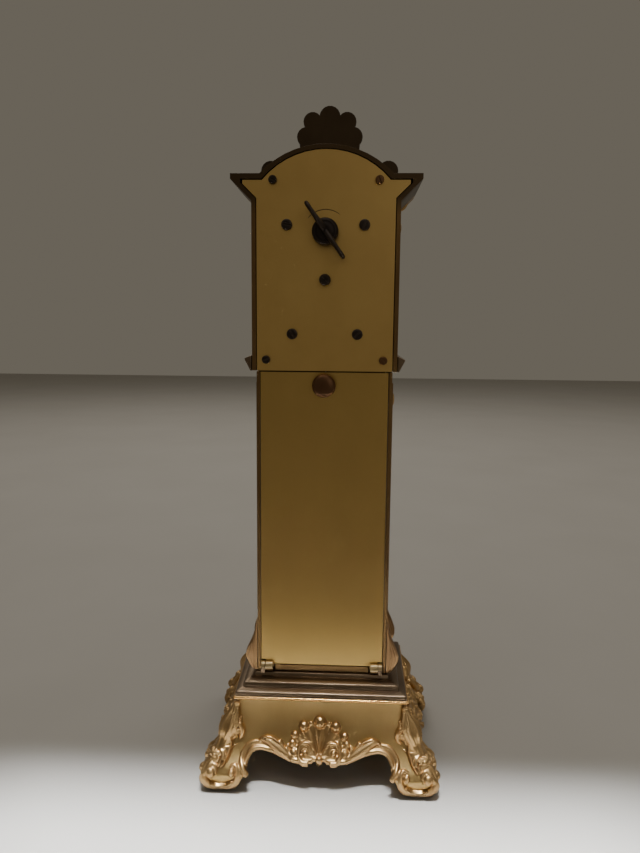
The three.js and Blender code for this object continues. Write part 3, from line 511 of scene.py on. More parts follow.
# ---------- base
ARCH_REAR = 34.6  # half the opening between a wall's feet
ARCH_SIDE = ARCH_REAR - (HALF_X - HALF_Y)
SHELL_HALF = 13.0


def squeezed(side, u):
    """The rear wall's u moved to where the same ornament stands on this wall."""
    if side in (REAR, FRONT):
        return u
    a = abs(u)
    if a < SHELL_HALF:
        b = 0.74 * a
    elif a < ARCH_REAR:
        b = 0.74 * SHELL_HALF + (a - SHELL_HALF) * (ARCH_SIDE - 0.74 * SHELL_HALF) / (ARCH_REAR - SHELL_HALF)
    else:
        b = a - (ARCH_REAR - ARCH_SIDE)
    return copysign(b, u)


WALL = 2.3  # the casting's thickness
FOOT_TOP = 2.4  # where the foot's edge meets the corner
LEAST_Z = 0.28  # the relief is pressed flat this far above the ground
# The edge of the opening, from the middle of the wall out to the corner of the foot.
APRON_EDGE = [(0, 14.7), (4, 14), (8.3, 13.5), (12.6, 13.8), (17.6, 15.2), (23.5, 17), (28.7, 17.6), (32, 16.7),
              (33.8, 14.4), (34.5, 11.2), (36, 7.8), (38.4, 4.4), (41.2, 1.6), (44.5, 0.2), (48, 0), (51, 0.9)]


def skirt():
    """The flared skirt: an outer and an inner skin for each wall, joined round the openwork edge."""
    shape = Shape()
    for side in range(4):
        edge = flowing(APRON_EDGE, 4)
        half = [(squeezed(side, u), z) for u, z in edge]
        corner = [(corner_u(side, z), z) for z in np.linspace(FOOT_TOP, BASE_TOP, 20)]
        top_u = corner[-1][0]
        top = [(u, BASE_TOP) for u in np.linspace(top_u, 0, 22)[1:]]
        right = half + corner + top
        loop = right + [(-u, z) for u, z in right[-2:0:-1]]
        inside = []
        for z in np.arange(1.5, BASE_TOP - 0.6, 1.25):
            reach = corner_u(side, z)
            inside += [(u, z) for u in np.arange(-reach + 0.9, reach - 0.6, 1.3)]
        points = [Vector(p) for p in loop + inside]
        count = len(loop)
        rim = [(i, (i + 1) % count) for i in range(count)]
        flat, _, faces, *_ = delaunay_2d_cdt(points, rim, [list(range(count))], 1, 1e-5)
        outer = [on_base(side, u, z, 0) for u, z in flat]
        inner = [on_base(side, u, z, -WALL) for u, z in flat]
        start, n = len(shape.verts), len(flat)
        shape.add(outer, faces)
        shape.add(inner, [f[::-1] for f in faces])
        near = {(round(p[0], 3), round(p[1], 3)): i for i, p in enumerate(flat)}
        for a, b in rim:
            i, j = (near[(round(points[k][0], 3), round(points[k][1], 3))] for k in (a, b))
            at_corner = all(abs(abs(points[k][0]) - corner_u(side, points[k][1])) < 1e-3
                            and points[k][1] >= FOOT_TOP for k in (a, b))
            if not at_corner:
                shape.faces.append([start + i, start + j, start + n + j, start + n + i])
                shape.slots.append(0)
    shape.piece("base_skirt", [GROUND], replaces=["base_casting"], angle=40)


# The shell's ribs as (tip u, tip z, ball radius, rib half width), from the middle one out.
SHELL_RIBS = [(0, 30, 3.35, 2.9), (7.7, 28, 2.75, 2.9), (12, 23.9, 2.1, 2.0), (13, 20.5, 1.9, 1.5),
              (12.2, 17, 2.2, 1.2)]


def shell(on):
    """Half of the scallop at the middle of an apron: a fan of wide ribs that end in balls, over two scrolls."""
    root_z = 15.6
    for tip_u, tip_z in ((1.5, 30.2), (4.2, 29.4), (6.9, 27.8), (9.4, 25.8), (11.2, 23.4), (12, 20.6),
                         (11.6, 18)):
        on.stroke([(tip_u * 0.1, root_z, 0.7, 0.9), (tip_u * 0.5, (root_z + tip_z) / 2, 2.1, 1.0),
                   (tip_u * 0.94, tip_z - 0.8, 2.5, 0.95)])
    for tip_u, tip_z, ball, wide in SHELL_RIBS:
        root_u = tip_u * 0.1
        dz = tip_z - ball * 0.5 - root_z
        du = tip_u * 0.93 - root_u
        on.stroke([(root_u, root_z, 0.6, 1.3), (root_u + du * 0.3, root_z + dz * 0.32, 0.95, 1.9),
                   (root_u + du * 0.6, root_z + dz * 0.62, wide * 0.72, 1.75),
                   (root_u + du, root_z + dz, wide, 1.2)], arc=10)
        on.bead(tip_u, tip_z, ball, ball * 1.1)
    on.bead(4.3, 29.2, 1.2, 1.3)
    on.volute((6.8, 17), (5.2, 13.6), 1.1, 1.25, 2.6, hand=1, eye=1.7)
    on.stroke([(1.4, 15.8, 0.6, 1.6), (2.6, 18.6, 0.95, 2.3), (5.6, 20.9, 1.2, 2.7), (9, 20, 1.2, 2.6),
               (10.4, 17.2, 0.9, 2.0)])
    on.bead(0, 14.8, 1.9, 3.0)
    on.bead(2.5, 15.1, 1.2, 2.1)


def apron_rim(on):
    """The doubled rim that follows the opening, and the two-lobed leaf that lies over it beside the shell."""
    edge = [(3.4, 14.5), (8.3, 14.3), (12.8, 14.7), (17.6, 16.1), (23.3, 17.9), (28.6, 18.6), (32.4, 17.5),
            (34.5, 14.6), (35, 12.4)]
    on.stroke([(u, z, 1.15, 1.7) for u, z in edge])
    outer = [(22.4, 19.8), (28.8, 20.7), (33.6, 19.6), (36.8, 16), (37.6, 11.8), (37.4, 8.8)]
    on.strokes([(u, z, w, 1.2) for (u, z), w in zip(outer, (1.0, 1.15, 1.25, 1.2, 1.1, 0.9))],
               [(u * 0.985, z - 1.1, 0.9, 0.7) for u, z in outer[:5]])
    # The leaf: a long lobe with a rolled tip, a shorter one above it, and the hollow between them.
    on.strokes([(12.6, 15.2, 0.8, 1.7), (17, 16.8, 1.9, 2.5), (21.4, 19.4, 2.2, 2.9), (25, 21.4, 1.9, 2.8),
                (27.9, 21.7, 1.3, 2.2), (28.6, 20.5, 0.8, 1.4)],
               [(19, 20.4, 0.5, 2.7), (22, 22.4, 0.8, 3.1), (25.4, 23.2, 0.8, 2.9), (28, 22.6, 0.5, 1.8)],
               [(14.2, 15.8, 0.8, 1.6), (16.6, 18, 1.2, 2.2), (18.4, 20, 1.3, 2.3), (19.2, 21.6, 0.9, 1.7)])
    on.bead(19, 21.2, 1.1, 2.1)
    on.stroke([(13.8, 16.6, 0.6, 1.2), (15, 18.4, 0.8, 1.6), (15.3, 20.4, 0.5, 1.0)])


def inner_leg(on):
    """The small lobed leaf that hangs from the rim on the inside of each leg."""
    on.stroke([(37.2, 14.2, 0.7, 1.6), (36.4, 11.9, 1.5, 2.4), (35.3, 9.9, 1.4, 2.4)])
    on.bead(34.7, 9.4, 1.5, 2.4)
    on.stroke([(38.2, 12.8, 0.5, 1.2), (37.4, 10.8, 0.9, 1.8), (36.8, 9, 0.7, 1.4)])
    on.bead(36.9, 8.9, 0.9, 1.6)


def foot_rim(on):
    """The thick scrolled rim round the foot, with a ball in the eye of each scroll."""
    path = [(42.3, 11.4, 0.9, 1.8), (39.9, 12, 1.1, 2.2), (38.3, 9.9, 1.4, 2.3), (38.3, 7.2, 1.7, 2.2),
            (39.9, 4.7, 2.0, 2.0), (42.4, 3.1, 2.2, 1.9), (45.6, 2.4, 2.3, 1.9), (49, 2.4, 2.3, 1.9),
            (51.9, 3.5, 2.1, 2.1), (53.6, 5.7, 1.8, 2.4), (54.3, 8.4, 1.6, 2.5), (53.6, 11.2, 1.4, 2.5),
            (51.4, 12.7, 1.25, 2.4), (49.1, 11.6, 1.0, 2.2), (48.6, 9.4, 0.9, 1.9)]
    on.stroke(path, arc=10)
    on.stroke([(u + (46.5 - u) * 0.16, z + 1.5, 0.6, 2.2) for u, z, *_ in path[4:9]])
    on.bead(41.3, 9.5, 1.75, 2.6)
    on.bead(51.1, 9.5, 2.3, 3.2)


# The corner leaf's body from its tip down, as (z, half width, height).
LEAF_BODY = [(38.4, 0.7, 1.0), (35.4, 1.5, 2.4), (32, 2.5, 4.3), (28.5, 3.2, 5.6), (25, 3.2, 5.6),
             (21.5, 2.6, 4.5), (18, 2.1, 3.6), (14.8, 1.6, 2.8)]


def corner_leaf(on):
    """The acanthus down the corner: a swelling body, parted strands over it, and curls on its inner edge."""
    on.stroke([(corner_u(REAR, z) - 0.1, z, wide, high) for z, wide, high in LEAF_BODY], arc=10)
    for share in (0.0, 0.42, 0.84, 1.3):
        rows = []
        for k, (z, wide, high) in enumerate(LEAF_BODY):
            lift = high * sqrt(max(1 - share ** 2, 0.12)) + 0.75
            fan = share * wide * (1 if share < 1 else 0.55 + 0.5 * sin(pi * k / 7))
            rows.append((corner_u(REAR, z) - fan, z, 0.34 + 0.09 * wide, lift))
        on.stroke(rows[int(share * 2):6 if share else 8])
    # Two short strands that cross the leaf towards the inner curl, and the curl with its balls.
    on.strokes([(42.2, 34, 0.4, 1.6), (41.6, 31.4, 0.8, 2.2), (42.2, 28.4, 1.0, 2.9), (43.4, 25.6, 0.7, 3.1)],
               [(40.6, 31.6, 0.4, 1.0), (41, 29.4, 0.8, 2.1), (42, 27, 0.8, 2.4), (42.8, 24, 0.6, 2.4)],
               [(43.4, 27.4, 0.7, 3.2), (41.4, 28.6, 1.3, 3.6), (39, 28.1, 1.5, 3.6), (37.3, 25.8, 1.4, 3.2),
                (37.6, 23.1, 1.1, 2.4), (39.2, 22, 0.8, 1.8)])
    for u, z, r in ((39.7, 24.9, 1.9), (42.2, 22.6, 1.5), (43, 19.4, 1.4)):
        on.bead(u, z, r, r * 1.7)
    for lean, top in ((0.0, 21.6), (2.1, 21)):
        on.stroke([(42.4 + lean, top, 0.7, 2.0), (42.8 + lean, 18.4, 1.0, 2.9), (43.8 + lean, 15.4, 1.0, 2.9),
                   (45.4 + lean, 12.8, 0.85, 2.2), (46.9 + lean * 0.5, 11.4, 0.5, 1.4)])
    on.volute((49.2, 15.2), (45.9, 13.4), 1.0, 1.5, 3.5, hand=-1, eye=2.0)
    for z, r in ((37.3, 1.2), (34.4, 1.1)):
        on.bead(corner_u(REAR, z), z, r, 2.6)
    for u, z, r in ((52.2, 18.6, 1.3), (53.2, 15.8, 1.4), (53.4, 13.2, 1.2)):
        on.bead(u, z, r, r * 1.7)


def base_relief(side, mirror):
    """One half of a wall's ornament, as strokes on the skirt."""
    shape = Shape()

    def surface(u, z, out):
        x, y, high = on_base(side, mirror * squeezed(side, u), z, out)
        return x, y, max(high, LEAST_Z)

    for part in (shell, apron_rim, inner_leg, foot_rim, corner_leaf):
        part(Carving(shape, surface))
    name = ["rear", "left", "front", "right"][side] + ("_a" if mirror > 0 else "_b")
    shape.piece("base_relief_" + name, [CAST], replaces=["base_casting"], remesh=0.27, smooth_steps=3,
                angle=180)


def plan_ring(grow, z, radius=0.8, per_corner=4):
    """The trunk's plan grown by a little at the height z, with rounded corners."""
    ring = []
    for k, (sx, sy) in enumerate(((1, 1), (-1, 1), (-1, -1), (1, -1))):
        cx, cy = sx * (HALF_X + grow - radius), sy * (HALF_Y + grow - radius)
        for i in range(per_corner + 1):
            a = pi / 2 * (k + i / per_corner)
            ring.append((cx + radius * cos(a), cy + radius * sin(a), z))
    return ring


def base_moulding():
    """The stepped moulding between base and trunk, with a strip of brighter metal as its lowest step."""
    low, high = (corner[2] for corner in box_mm("base_moulding"))
    fillet_top = low + 1.55
    profile = profile_of([(10.2, low), (10.7, low + 0.3), (10.7, low + 1.1), (10.2, low + 1.5)], per_span=3)
    profile += profile_of(
        [(9.6, low + 1.6), (9.9, low + 2.4), (9.5, low + 3.4), (8.2, low + 4.1), (6.6, low + 4.6)],
        [(6.6, low + 5), (6.5, low + 5.7), (6, low + 6.8), (4.6, low + 7.5), (3.2, low + 7.8)],
        (3.2, low + 8.1), (1.6, low + 8.3), (1.3, high - 0.2), (1.0, high),
        (-1, high), (-1, high - 1.6), (2, low + 5.5), (7.7, low + 2), (7.7, low))

    def fillet_or_body(i, j):
        return int(max(profile[i][1], profile[j][1]) < fillet_top and profile[i][0] > 8)

    shape = Shape()
    shape.hoop([plan_ring(grow, z) for grow, z in profile], fillet_or_body)
    shape.piece("base_steps", [MOULDING_AND_SHADE, FILLET], replaces=["base_moulding"], angle=50)


# ---------- trunk
def trunk_leaf(node):
    """A ribbed leaf on a side wall, thick below its middle and drawn out to a point above."""
    low, high = box_mm(node)
    sign = 1 if low[0] > 0 else -1
    wall = min(abs(low[0]), abs(high[0]))
    thick = abs(high[0] - low[0])
    rear = low[1] > 0
    outline = flowing([(0, 0.42), (0.08, 0.72), (0.2, 0.97), (0.3, 1), (0.42, 0.84), (0.62, 0.47), (0.82, 0.2),
                       (1, 0.05)], 5)
    shape = Shape()
    rings = []
    ribs = 9
    for t, depth in outline:
        z = low[2] + (high[2] - low[2]) * t
        width = (high[1] - low[1]) * (1 - 0.72 * t ** 1.5) * (0.86 + 0.14 * sin(min(t * 5, 1) * pi / 2))
        middle = (high[1] - width / 2) if rear else (low[1] + width / 2)
        ring = []
        for k in range(45):
            a = pi * k / 44
            c, s = cos(a), sin(a)
            across = copysign(abs(c) ** 0.6, c)
            away = s ** 0.55
            rib = 1 - 0.085 * (1 + cos(2 * ribs * a)) * (1 - 0.35 * t)
            ring.append((sign * (wall + thick * depth * away * rib),
                         middle + width / 2 * across * (0.93 + 0.07 * rib), z))
        rings.append(ring)
    shape.rings(rings)
    shape.piece(node + "_carved", [SHADED_CAST], replaces=[node], angle=60)


def wall_frame(shape, side, rows):
    """A frame on a wall. Rows go round its bar: (half its width, foot, head, distance from the axis)."""
    shape.hoop([[placed(side, s * half, away, z) for s, z in ((1, foot), (1, head), (-1, head), (-1, foot))]
                for half, foot, head, away in rows])


def trunk_sides():
    """A thin rounded frame on each side wall, from rows of (inset, height)."""
    shape = Shape()
    for side in (LEFT, RIGHT):
        wall_frame(shape, side, [(HALF_Y - 3.2 - inset, 80 + inset, TRUNK_TOP - 5 - inset, HALF_X - 0.05 + out)
                                 for inset, out in ((0, 0), (0, 0.42), (0.4, 0.7), (0.96, 0.56), (1.6, 0.21),
                                                    (1.6, 0))])
    shape.piece("trunk_side_panels", [CASE], slot="case_brass", bevel=0.1)


def flat_wall(side, reach):
    """The surface of a flat wall, reach from the clock's axis."""
    return lambda u, z, out: placed(side, u, reach + out, z)


def window_frame():
    """A moulded frame round the trunk's glass, with scrolled capitals at its upper corners."""
    low, high = box_mm("trunk_window_frame")
    back, lip = 20.3, 22.6  # how far its two faces lie from the axis
    z0, z1 = low[2], high[2]
    half, sill, head = 18.5, 70, 182  # the opening
    rows = [(27, z0, z1, back), (27, z0, z1, lip - 1.2), (26.4, z0 + 0.6, z1 - 0.6, lip - 0.5),
            (24.6, z0 + 2.6, z1 - 2.2, lip - 0.5), (24, z0 + 3.6, z1 - 3, lip), (22, z0 + 7, z1 - 5.4, lip),
            (21.2, z0 + 8.6, z1 - 6.6, lip - 0.9), (19.6, z0 + 10.6, z1 - 8.4, lip - 1.1),
            (half, sill, head, lip - 1.9), (half, sill, head, back)]
    shape = Shape()
    wall_frame(shape, FRONT, rows)
    shape.piece("trunk_window_moulding", [CAST], replaces=["trunk_window_frame"], bevel=0.15)
    relief = Shape()
    face = Carving(relief, flat_wall(FRONT, lip - 0.35))
    corner = Carving(relief, flat_wall(FRONT, lip - 1.5))
    for s in (1, -1):
        face.scrollwork(s * 23.3, 177, 6.2, hand=s)
        face.scrollwork(s * 23.3, 66, 5.6, hand=s, lean=-1)
        for z in np.linspace(80, 166, 14):
            face.bead(s * 23.1, z, 0.85, 1.1)
        cap = Carving(relief, flat_wall(LEFT if s > 0 else RIGHT, HALF_X + 0.3))
        cap.stroke([(s * 20, 176.6, 1.0, 1.6), (s * 18.5, 180, 1.9, 3.0), (s * 17, 184, 1.9, 3.0),
                    (s * 15.2, 186.6, 1.0, 1.6)])
        corner.stroke([(s * 27, 176.5, 1.1, 1.8), (s * 31.5, 178.4, 2.2, 2.5), (s * 32.6, 182.6, 2.4, 2.6),
                       (s * 29.6, 186, 1.6, 2.0)])
        corner.bead(s * 31.4, 181.4, 1.9, 3.0)
    for k in range(-3, 4):
        face.stroke([(0, 184.5, 0.3, 0.8), (k * 1.5, 187.6, 0.8, 1.4),
                     (k * 2.3, 190.6 - abs(k) * 0.5, 0.9, 1.3)])
        face.bead(k * 2.4, 191 - abs(k) * 0.5, 0.95, 1.4)
    relief.piece("trunk_window_relief", [CAST], slot="cast_brass", remesh=0.33, smooth_steps=1, angle=180)


def door_pieces():
    """The brushed door keeps its shape; its two knuckles are brighter metal."""
    door = refined("rear_door", 0.22, PLATE)
    door.data.materials.append(HINGE)
    for face in door.data.polygons:
        c = face.center / MM
        if c.z < HINGE_Z + 2.4 and c.y > DOOR_Y + 1.5 and abs(c.x) > 20:
            face.material_index = 1
    for node in ("hinge_lug_left", "hinge_lug_right"):
        lug = refined(node, 0.25, HINGE)
        # The lugs' faces below the hinge pin take the dark moulding metal: painted shade under the knuckles.
        lug.data.materials.append(MOULDING_AND_SHADE)
        for face in lug.data.polygons:
            face.material_index = int(face.center.z / MM < HINGE_Z - 0.8)
    low, high = box_mm("door_knob")
    y0 = low[1]
    z = (low[2] + high[2]) / 2
    r = (high[0] - low[0]) / 2
    shape = Shape()
    profile = profile_of((0, y0), (3, y0), (3, y0 + 0.5), (1.5, y0 + 0.5), (1.5, y0 + 2.5),
                         [(3.5, y0 + 2.5), (3.7, y0 + 2.9), (2.7, y0 + 3.7), (2.4, y0 + 4.4)])
    profile += profile_of([(2.4, y0 + 4.5), (3.6, y0 + 5.1), (4.9, y0 + 5.6), (r, y0 + 6.4),
                           (r - 0.05, y0 + 7.1), (4.8, y0 + 7.9), (3.9, y0 + 8.4), (2.4, y0 + 8.75),
                           (0, y0 + 8.9)], per_span=5)
    turned(shape, profile, (0, 0, z), "y", 64)
    shape.piece("door_knob_turned", [KNOB], "door", replaces=["door_knob"], angle=45)


# ---------- hood
def hood_pieces():
    """The hood's plain pieces keep their shapes, and an arc is marked on the rear plate above the key."""
    refined("hood_case", 0.3, HOOD_CASE_SHADED_TOP)
    refined("hood_back_plate", 0.2, LIT_HOOD_PLATE)
    first, last = radians(38), radians(128)
    radius, below, above = 10.3, PLATE_Y - 0.05, PLATE_Y + 0.03
    rings = []
    for a in np.linspace(first, last, 30):
        wide = 0.07 + 0.17 * sin((a - first) / (last - first) * pi) ** 0.5
        rows = ((-1, below), (-0.6, above), (0.6, above), (1, below))
        rings.append([about(KEY, radius + wide * share, a, y) for share, y in rows])
    arc = Shape()
    arc.rings(rings)
    arc.piece("winding_arc", [SHADOWED], slot="satin_brass")
    for node, bevel, material in (("throat_moulding", 0.35, MOULDING_AND_SHADE), ("hood_bezel", 0.25, CAST),
                                  ("front_cornice", 0.35, SHADED_CAST), ("hood_glass", 0.15, GLASS),
                                  ("trunk_glass", 0.15, GLASS)):
        refined(node, bevel, material)


def hood_ornament():
    """Cast ornament on the hood's front: scrolls in the spandrels, leaves down the stiles and a bead line."""
    front = -box_mm("hood_bezel")[0][1]
    relief = Shape()
    face = Carving(relief, flat_wall(FRONT, front - 0.3))
    for s in (1, -1):
        for u, z, size, lean in ((29.6, 262, 5.4, 1), (29.6, 240, 5.2, -1), (29.6, 218, 5.2, 1),
                                 (24.5, 282, 4.2, 1)):
            face.scrollwork(s * u, z, size, hand=s, lean=lean)
        for z, radius, high in ((229, 1.5, 1.8), (251, 1.5, 1.8), (208, 1.4, 1.7)):
            face.bead(s * 29.7, z, radius, high)
        face.strokes([(s * 32.8, 275, 0.9, 1.0), (s * 34.9, 270.6, 1.9, 1.9), (s * 34.7, 265.6, 1.6, 1.6),
                      (s * 33, 261, 0.7, 0.8)],
                     [(s * 33.4, 277, 0.8, 1.2), (s * 37.2, 279.2, 1.5, 1.8), (s * 39.4, 282.6, 1.2, 1.6)],
                     [(s * 33, 246, 0.5, 0.8), (s * 34.2, 242.6, 1.2, 1.5), (s * 33.6, 238.6, 0.6, 0.9)])
    for k in range(-7, 8):
        face.bead(k * 3.3, 204.9, 1.0, 1.2)
    relief.piece("hood_relief", [CAST], slot="cast_brass", remesh=0.33, smooth_steps=1, angle=180)


def crest():
    """The shell over the arch. It is flat behind, and its front is fluted from lobe to root."""
    low, high = box_mm("crest")
    # The crest's back is painted in shadow, and its front faces take the darker cast brass, which is also painted
    # shade.
    back = refined("crest", 0.5, SHADOWED)
    back.data.materials.append(SHADED_CAST)
    for face in back.data.polygons:
        face.material_index = int(face.normal.y < -0.5)
    relief = Shape()
    face = Carving(relief, flat_wall(FRONT, -low[1] - 0.25))
    root, top = 301.5, high[2]
    lobes = ((0, top - 2.6, 3.7), (6.2, top - 4.2, 2.2), (9.6, top - 6.6, 3.2), (12.2, 317, 1.9),
             (13, 312.9, 3.1))
    for s in (1, -1):
        for u, z, w in lobes:
            face.stroke([(s * u * 0.12, root, 0.7, 0.9), (s * u * 0.5, (root + z) / 2, w * 0.5, 1.3),
                         (s * u * 0.86, z - 3.2, w * 0.85, 1.5), (s * u, z, w * 0.8, 1.1)])
            face.bead(s * u * 0.97, z - 1.2, w * 0.62, 1.9)
        face.stroke([(s * 3, 301.4, 0.9, 1.1), (s * 12, 300, 1.4, 1.5), (s * 20.5, 296.8, 1.4, 1.5),
                     (s * 26, 293.4, 1.2, 1.4)])
        face.volute((s * 29.5, 296.5), (s * 26.2, 293.8), 1.2, 1.15, 1.7, hand=s, eye=1.5)
    face.bead(0, 301.8, 2.3, 2.2)
    relief.piece("crest_relief", [CAST], slot="cast_brass", remesh=0.36, smooth_steps=1, angle=180)


# ---------- screws, key and knobs
def slotted_head(shape, at, radius, y0, y1, slot_half, slot_floor, turn):
    """A cheese head with rounded rim: a full disc below the slot, and two D-shaped halves beside it."""
    turned(shape, [(0, y0), (radius, y0), (radius, slot_floor), (0, slot_floor)], (at[0], 0, at[1]), "y", 40)
    rim = y1 - y0
    levels = [(radius, slot_floor - 0.02), (radius, y1 - rim * 0.35), (radius * 0.95, y1 - rim * 0.12),
              (radius * 0.85, y1 - rim * 0.02), (radius * 0.6, y1)]
    for s in (1, -1):
        rings = []
        for r, y in levels:
            a0 = asin(min(slot_half / r, 0.99))
            arc = np.linspace(a0, pi - a0, 18)
            ring = []
            for a in arc:
                u, v = r * cos(a), s * r * sin(a)
                ring.append((at[0] + u * cos(turn) - v * sin(turn), y,
                             at[1] + u * sin(turn) + v * cos(turn)))
            rings.append(ring)
        shape.rings(rings)


def screws():
    """Each screw stands at its own angle. Two of the corner screws have lost their blacking."""
    turns = {"back_plate_screw_1": 0.5, "back_plate_screw_2": 1.2, "back_plate_screw_3": -0.4,
             "back_plate_screw_4": 0.9, "movement_screw_1": 0.15, "movement_screw_2": 1.9,
             "movement_screw_3": 1.0, "movement_screw_4": -0.8}
    for node, turn in turns.items():
        low, high = box_mm(node)
        at = ((low[0] + high[0]) / 2, (low[2] + high[2]) / 2)
        r = (high[0] - low[0]) / 2
        seat = PLATE_Y + 0.3
        shape = Shape()
        slotted_head(shape, at, r, seat, high[1], 0.32, seat + 0.75, turn)
        turned(shape, [(0, low[1]), (0.75, low[1]), (1, low[1] + 0.3), (1, seat), (0, seat)], (at[0], 0, at[1]),
               "y", 20)
        bare = node.startswith("back_plate") and low[0] < 0
        shape.piece(node + "_head", [KNOB if bare else BLACKED], replaces=[node], angle=35)


def winding_key():
    """A turned hub with two thin wings that spread from it, all blackened."""
    y0 = box_mm("winding_key")[0][1]
    y1, hub = y0 + 5.4, 5.9
    shape = Shape()
    profile = profile_of((1.8, y0 + 3), (1.8, y0), [(4.2, y0), (hub - 0.1, y0 + 0.4), (hub, y0 + 1.2),
                                                    (hub, y1 - 1.4), (hub - 0.35, y1 - 0.5), (hub - 1.2, y1)],
                         [(hub - 1.6, y1 - 0.1), (2.6, y1 + 0.4), (0, y1 + 0.5)])
    turned(shape, profile, (KEY[0], 0, KEY[2]), "y", 64)
    tilt = 0.62  # how far the wings lean from upright
    for reach in (14.9, -14.9):
        rows = [(0.0, 24.2, 30.2, 1.5), (0.25, 25.2, 32.0, 1.4), (0.45, 26.1, 32.8, 1.1),
                (0.7, 26.8, 33.2, 0.95), (0.86, 27.2, 33.0, 1.0), (0.96, 28.0, 32.0, 0.85),
                (1.0, 29.2, 30.8, 0.3)]
        rings = []
        for share, front_y, rear_y, half in flowing(rows, 4):
            along = reach * share
            middle, tall = (front_y + rear_y) / 2, (rear_y - front_y) / 2
            ring = []
            for a in round_circle(20):
                c, s = cos(a), sin(a)
                aside = half * copysign(abs(c) ** 0.7, c)
                y = middle + tall * copysign(abs(s) ** 0.6, s)
                ring.append((KEY[0] + aside * cos(tilt) + along * sin(tilt), y,
                             KEY[2] - aside * sin(tilt) + along * cos(tilt)))
            rings.append(ring)
        shape.rings(rings)
    shape.piece("winding_key_forged", [BLACKED], "winding_arbor", replaces=["winding_key"], angle=45)


def milled(profile, sides, cut, cut_at, point):
    """Rings for rows of (radius, distance along, 1 on the rim). The rim is cut at the sides where cut_at(k)."""
    return [[point(radius - cut * on_rim * cut_at(k), a, along) for k, a in enumerate(round_circle(sides))]
            for radius, along, on_rim in profile]


def setting_knob():
    """A blackened knob with a milled rim."""
    low, high = box_mm("setting_knob")
    y0, y1, r = low[1], high[1], (high[0] - low[0]) / 2
    profile = [(0.9, y0, 0), (1.9, y0, 0), (r - 0.35, y0 + 0.5, 0), (r, y0 + 0.9, 1), (r, y1 - 1, 1),
               (r - 0.15, y1 - 0.5, 1), (r - 0.6, y1 - 0.1, 0), (1.2, y1, 0), (0.1, y1 - 0.15, 0)]
    shape = Shape()
    shape.rings(milled(profile, 96, 0.13, lambda k: k % 4 > 1, lambda r, a, y: about(CENTRE, r, a, y)))
    shape.piece("setting_knob_milled", [BLACKED], "centre_arbor", replaces=["setting_knob"], angle=30)


# ---------- dial and hands
HOURS = ("XII", "I", "II", "III", "IIII", "V", "VI", "VII", "VIII", "IX", "X", "XI")


def dial():
    """The dial plate, its silvered chapter ring, and the marks and hour numerals on it."""
    refined("dial_plate", 0.12, PLATE)
    low, high = box_mm("chapter_ring")
    y_face, y_back = low[1], high[1]
    r_in, r_out = 15.6, (high[0] - low[0]) / 2
    profile = [(r_in, y_back), (r_in, y_face + 0.15), (r_in + 0.15, y_face), (r_out - 0.15, y_face),
               (r_out, y_face + 0.15), (r_out, y_back)]
    ring = Shape()
    ring.hoop([[about(CENTRE, r, a, y) for r, y in profile] for a in round_circle(128)])
    ring.piece("chapter_ring_silvered", [SILVERED], replaces=["chapter_ring"], angle=40)
    marks = Shape()
    for k, a in enumerate(round_circle(60)):
        wide, r0 = (0.32, r_out - 2.3) if k % 5 == 0 else (0.13, r_out - 1.7)
        mark(marks, a, r0, r_out - 0.7, wide, y_face)
    for text, a in zip(HOURS, round_circle(12)):
        numeral(marks, a, text, (r_in + r_out) / 2 - 0.7, 3.4, y_face)
    marks.piece("dial_marks", [INK], slot="hand_black")


def mark(shape, angle, r0, r1, half, y, shift0=0.0, shift1=0.0):
    """An inlaid line on the dial from radius r0 to r1, with its ends shifted sideways."""
    corners = []
    for r, shift in ((r0, shift0), (r1, shift1)):
        for s in (-1, 1):
            side = shift + s * half
            # Seen from the front, X runs the other way, so clockwise from the top is towards +X.
            corners.append((CENTRE[0] + r * sin(angle) + side * cos(angle),
                            CENTRE[2] + r * cos(angle) - side * sin(angle)))
    a, b, c, d = corners
    loop = [a, b, d, c]
    shape.rings([[(x, y + 0.06, z) for x, z in loop], [(x, y - 0.05, z) for x, z in loop]])


def numeral(shape, angle, text, middle, tall, y):
    """A Roman hour numeral that stands with its foot towards the centre."""
    widths = {"I": 1.0, "V": 2.1, "X": 2.1}
    total = sum(widths[c] for c in text)
    squeeze = min(1.0, 5.4 / total)
    at = -total / 2 * squeeze
    lo, hi = middle - tall / 2, middle + tall / 2
    for c in text:
        wide = widths[c] * squeeze
        mid, left, right = at + wide / 2, 0.3 * squeeze, wide - 0.3 * squeeze
        thick = 0.24 * squeeze
        strokes = {"I": ((0.22 * squeeze, wide / 2, wide / 2),),
                   "V": ((thick, wide / 2, 0.35 * squeeze), (0.11, wide / 2, right)),
                   "X": ((thick, wide - 0.35 * squeeze, 0.35 * squeeze), (0.11, left, right))}
        for half, foot, head in strokes[c]:
            mark(shape, angle, lo, hi, half, y, at + foot, at + head)
        for r in (lo, hi):
            mark(shape, angle, r - 0.07, r + 0.07, wide * 0.42, y, mid, mid)
        at += wide


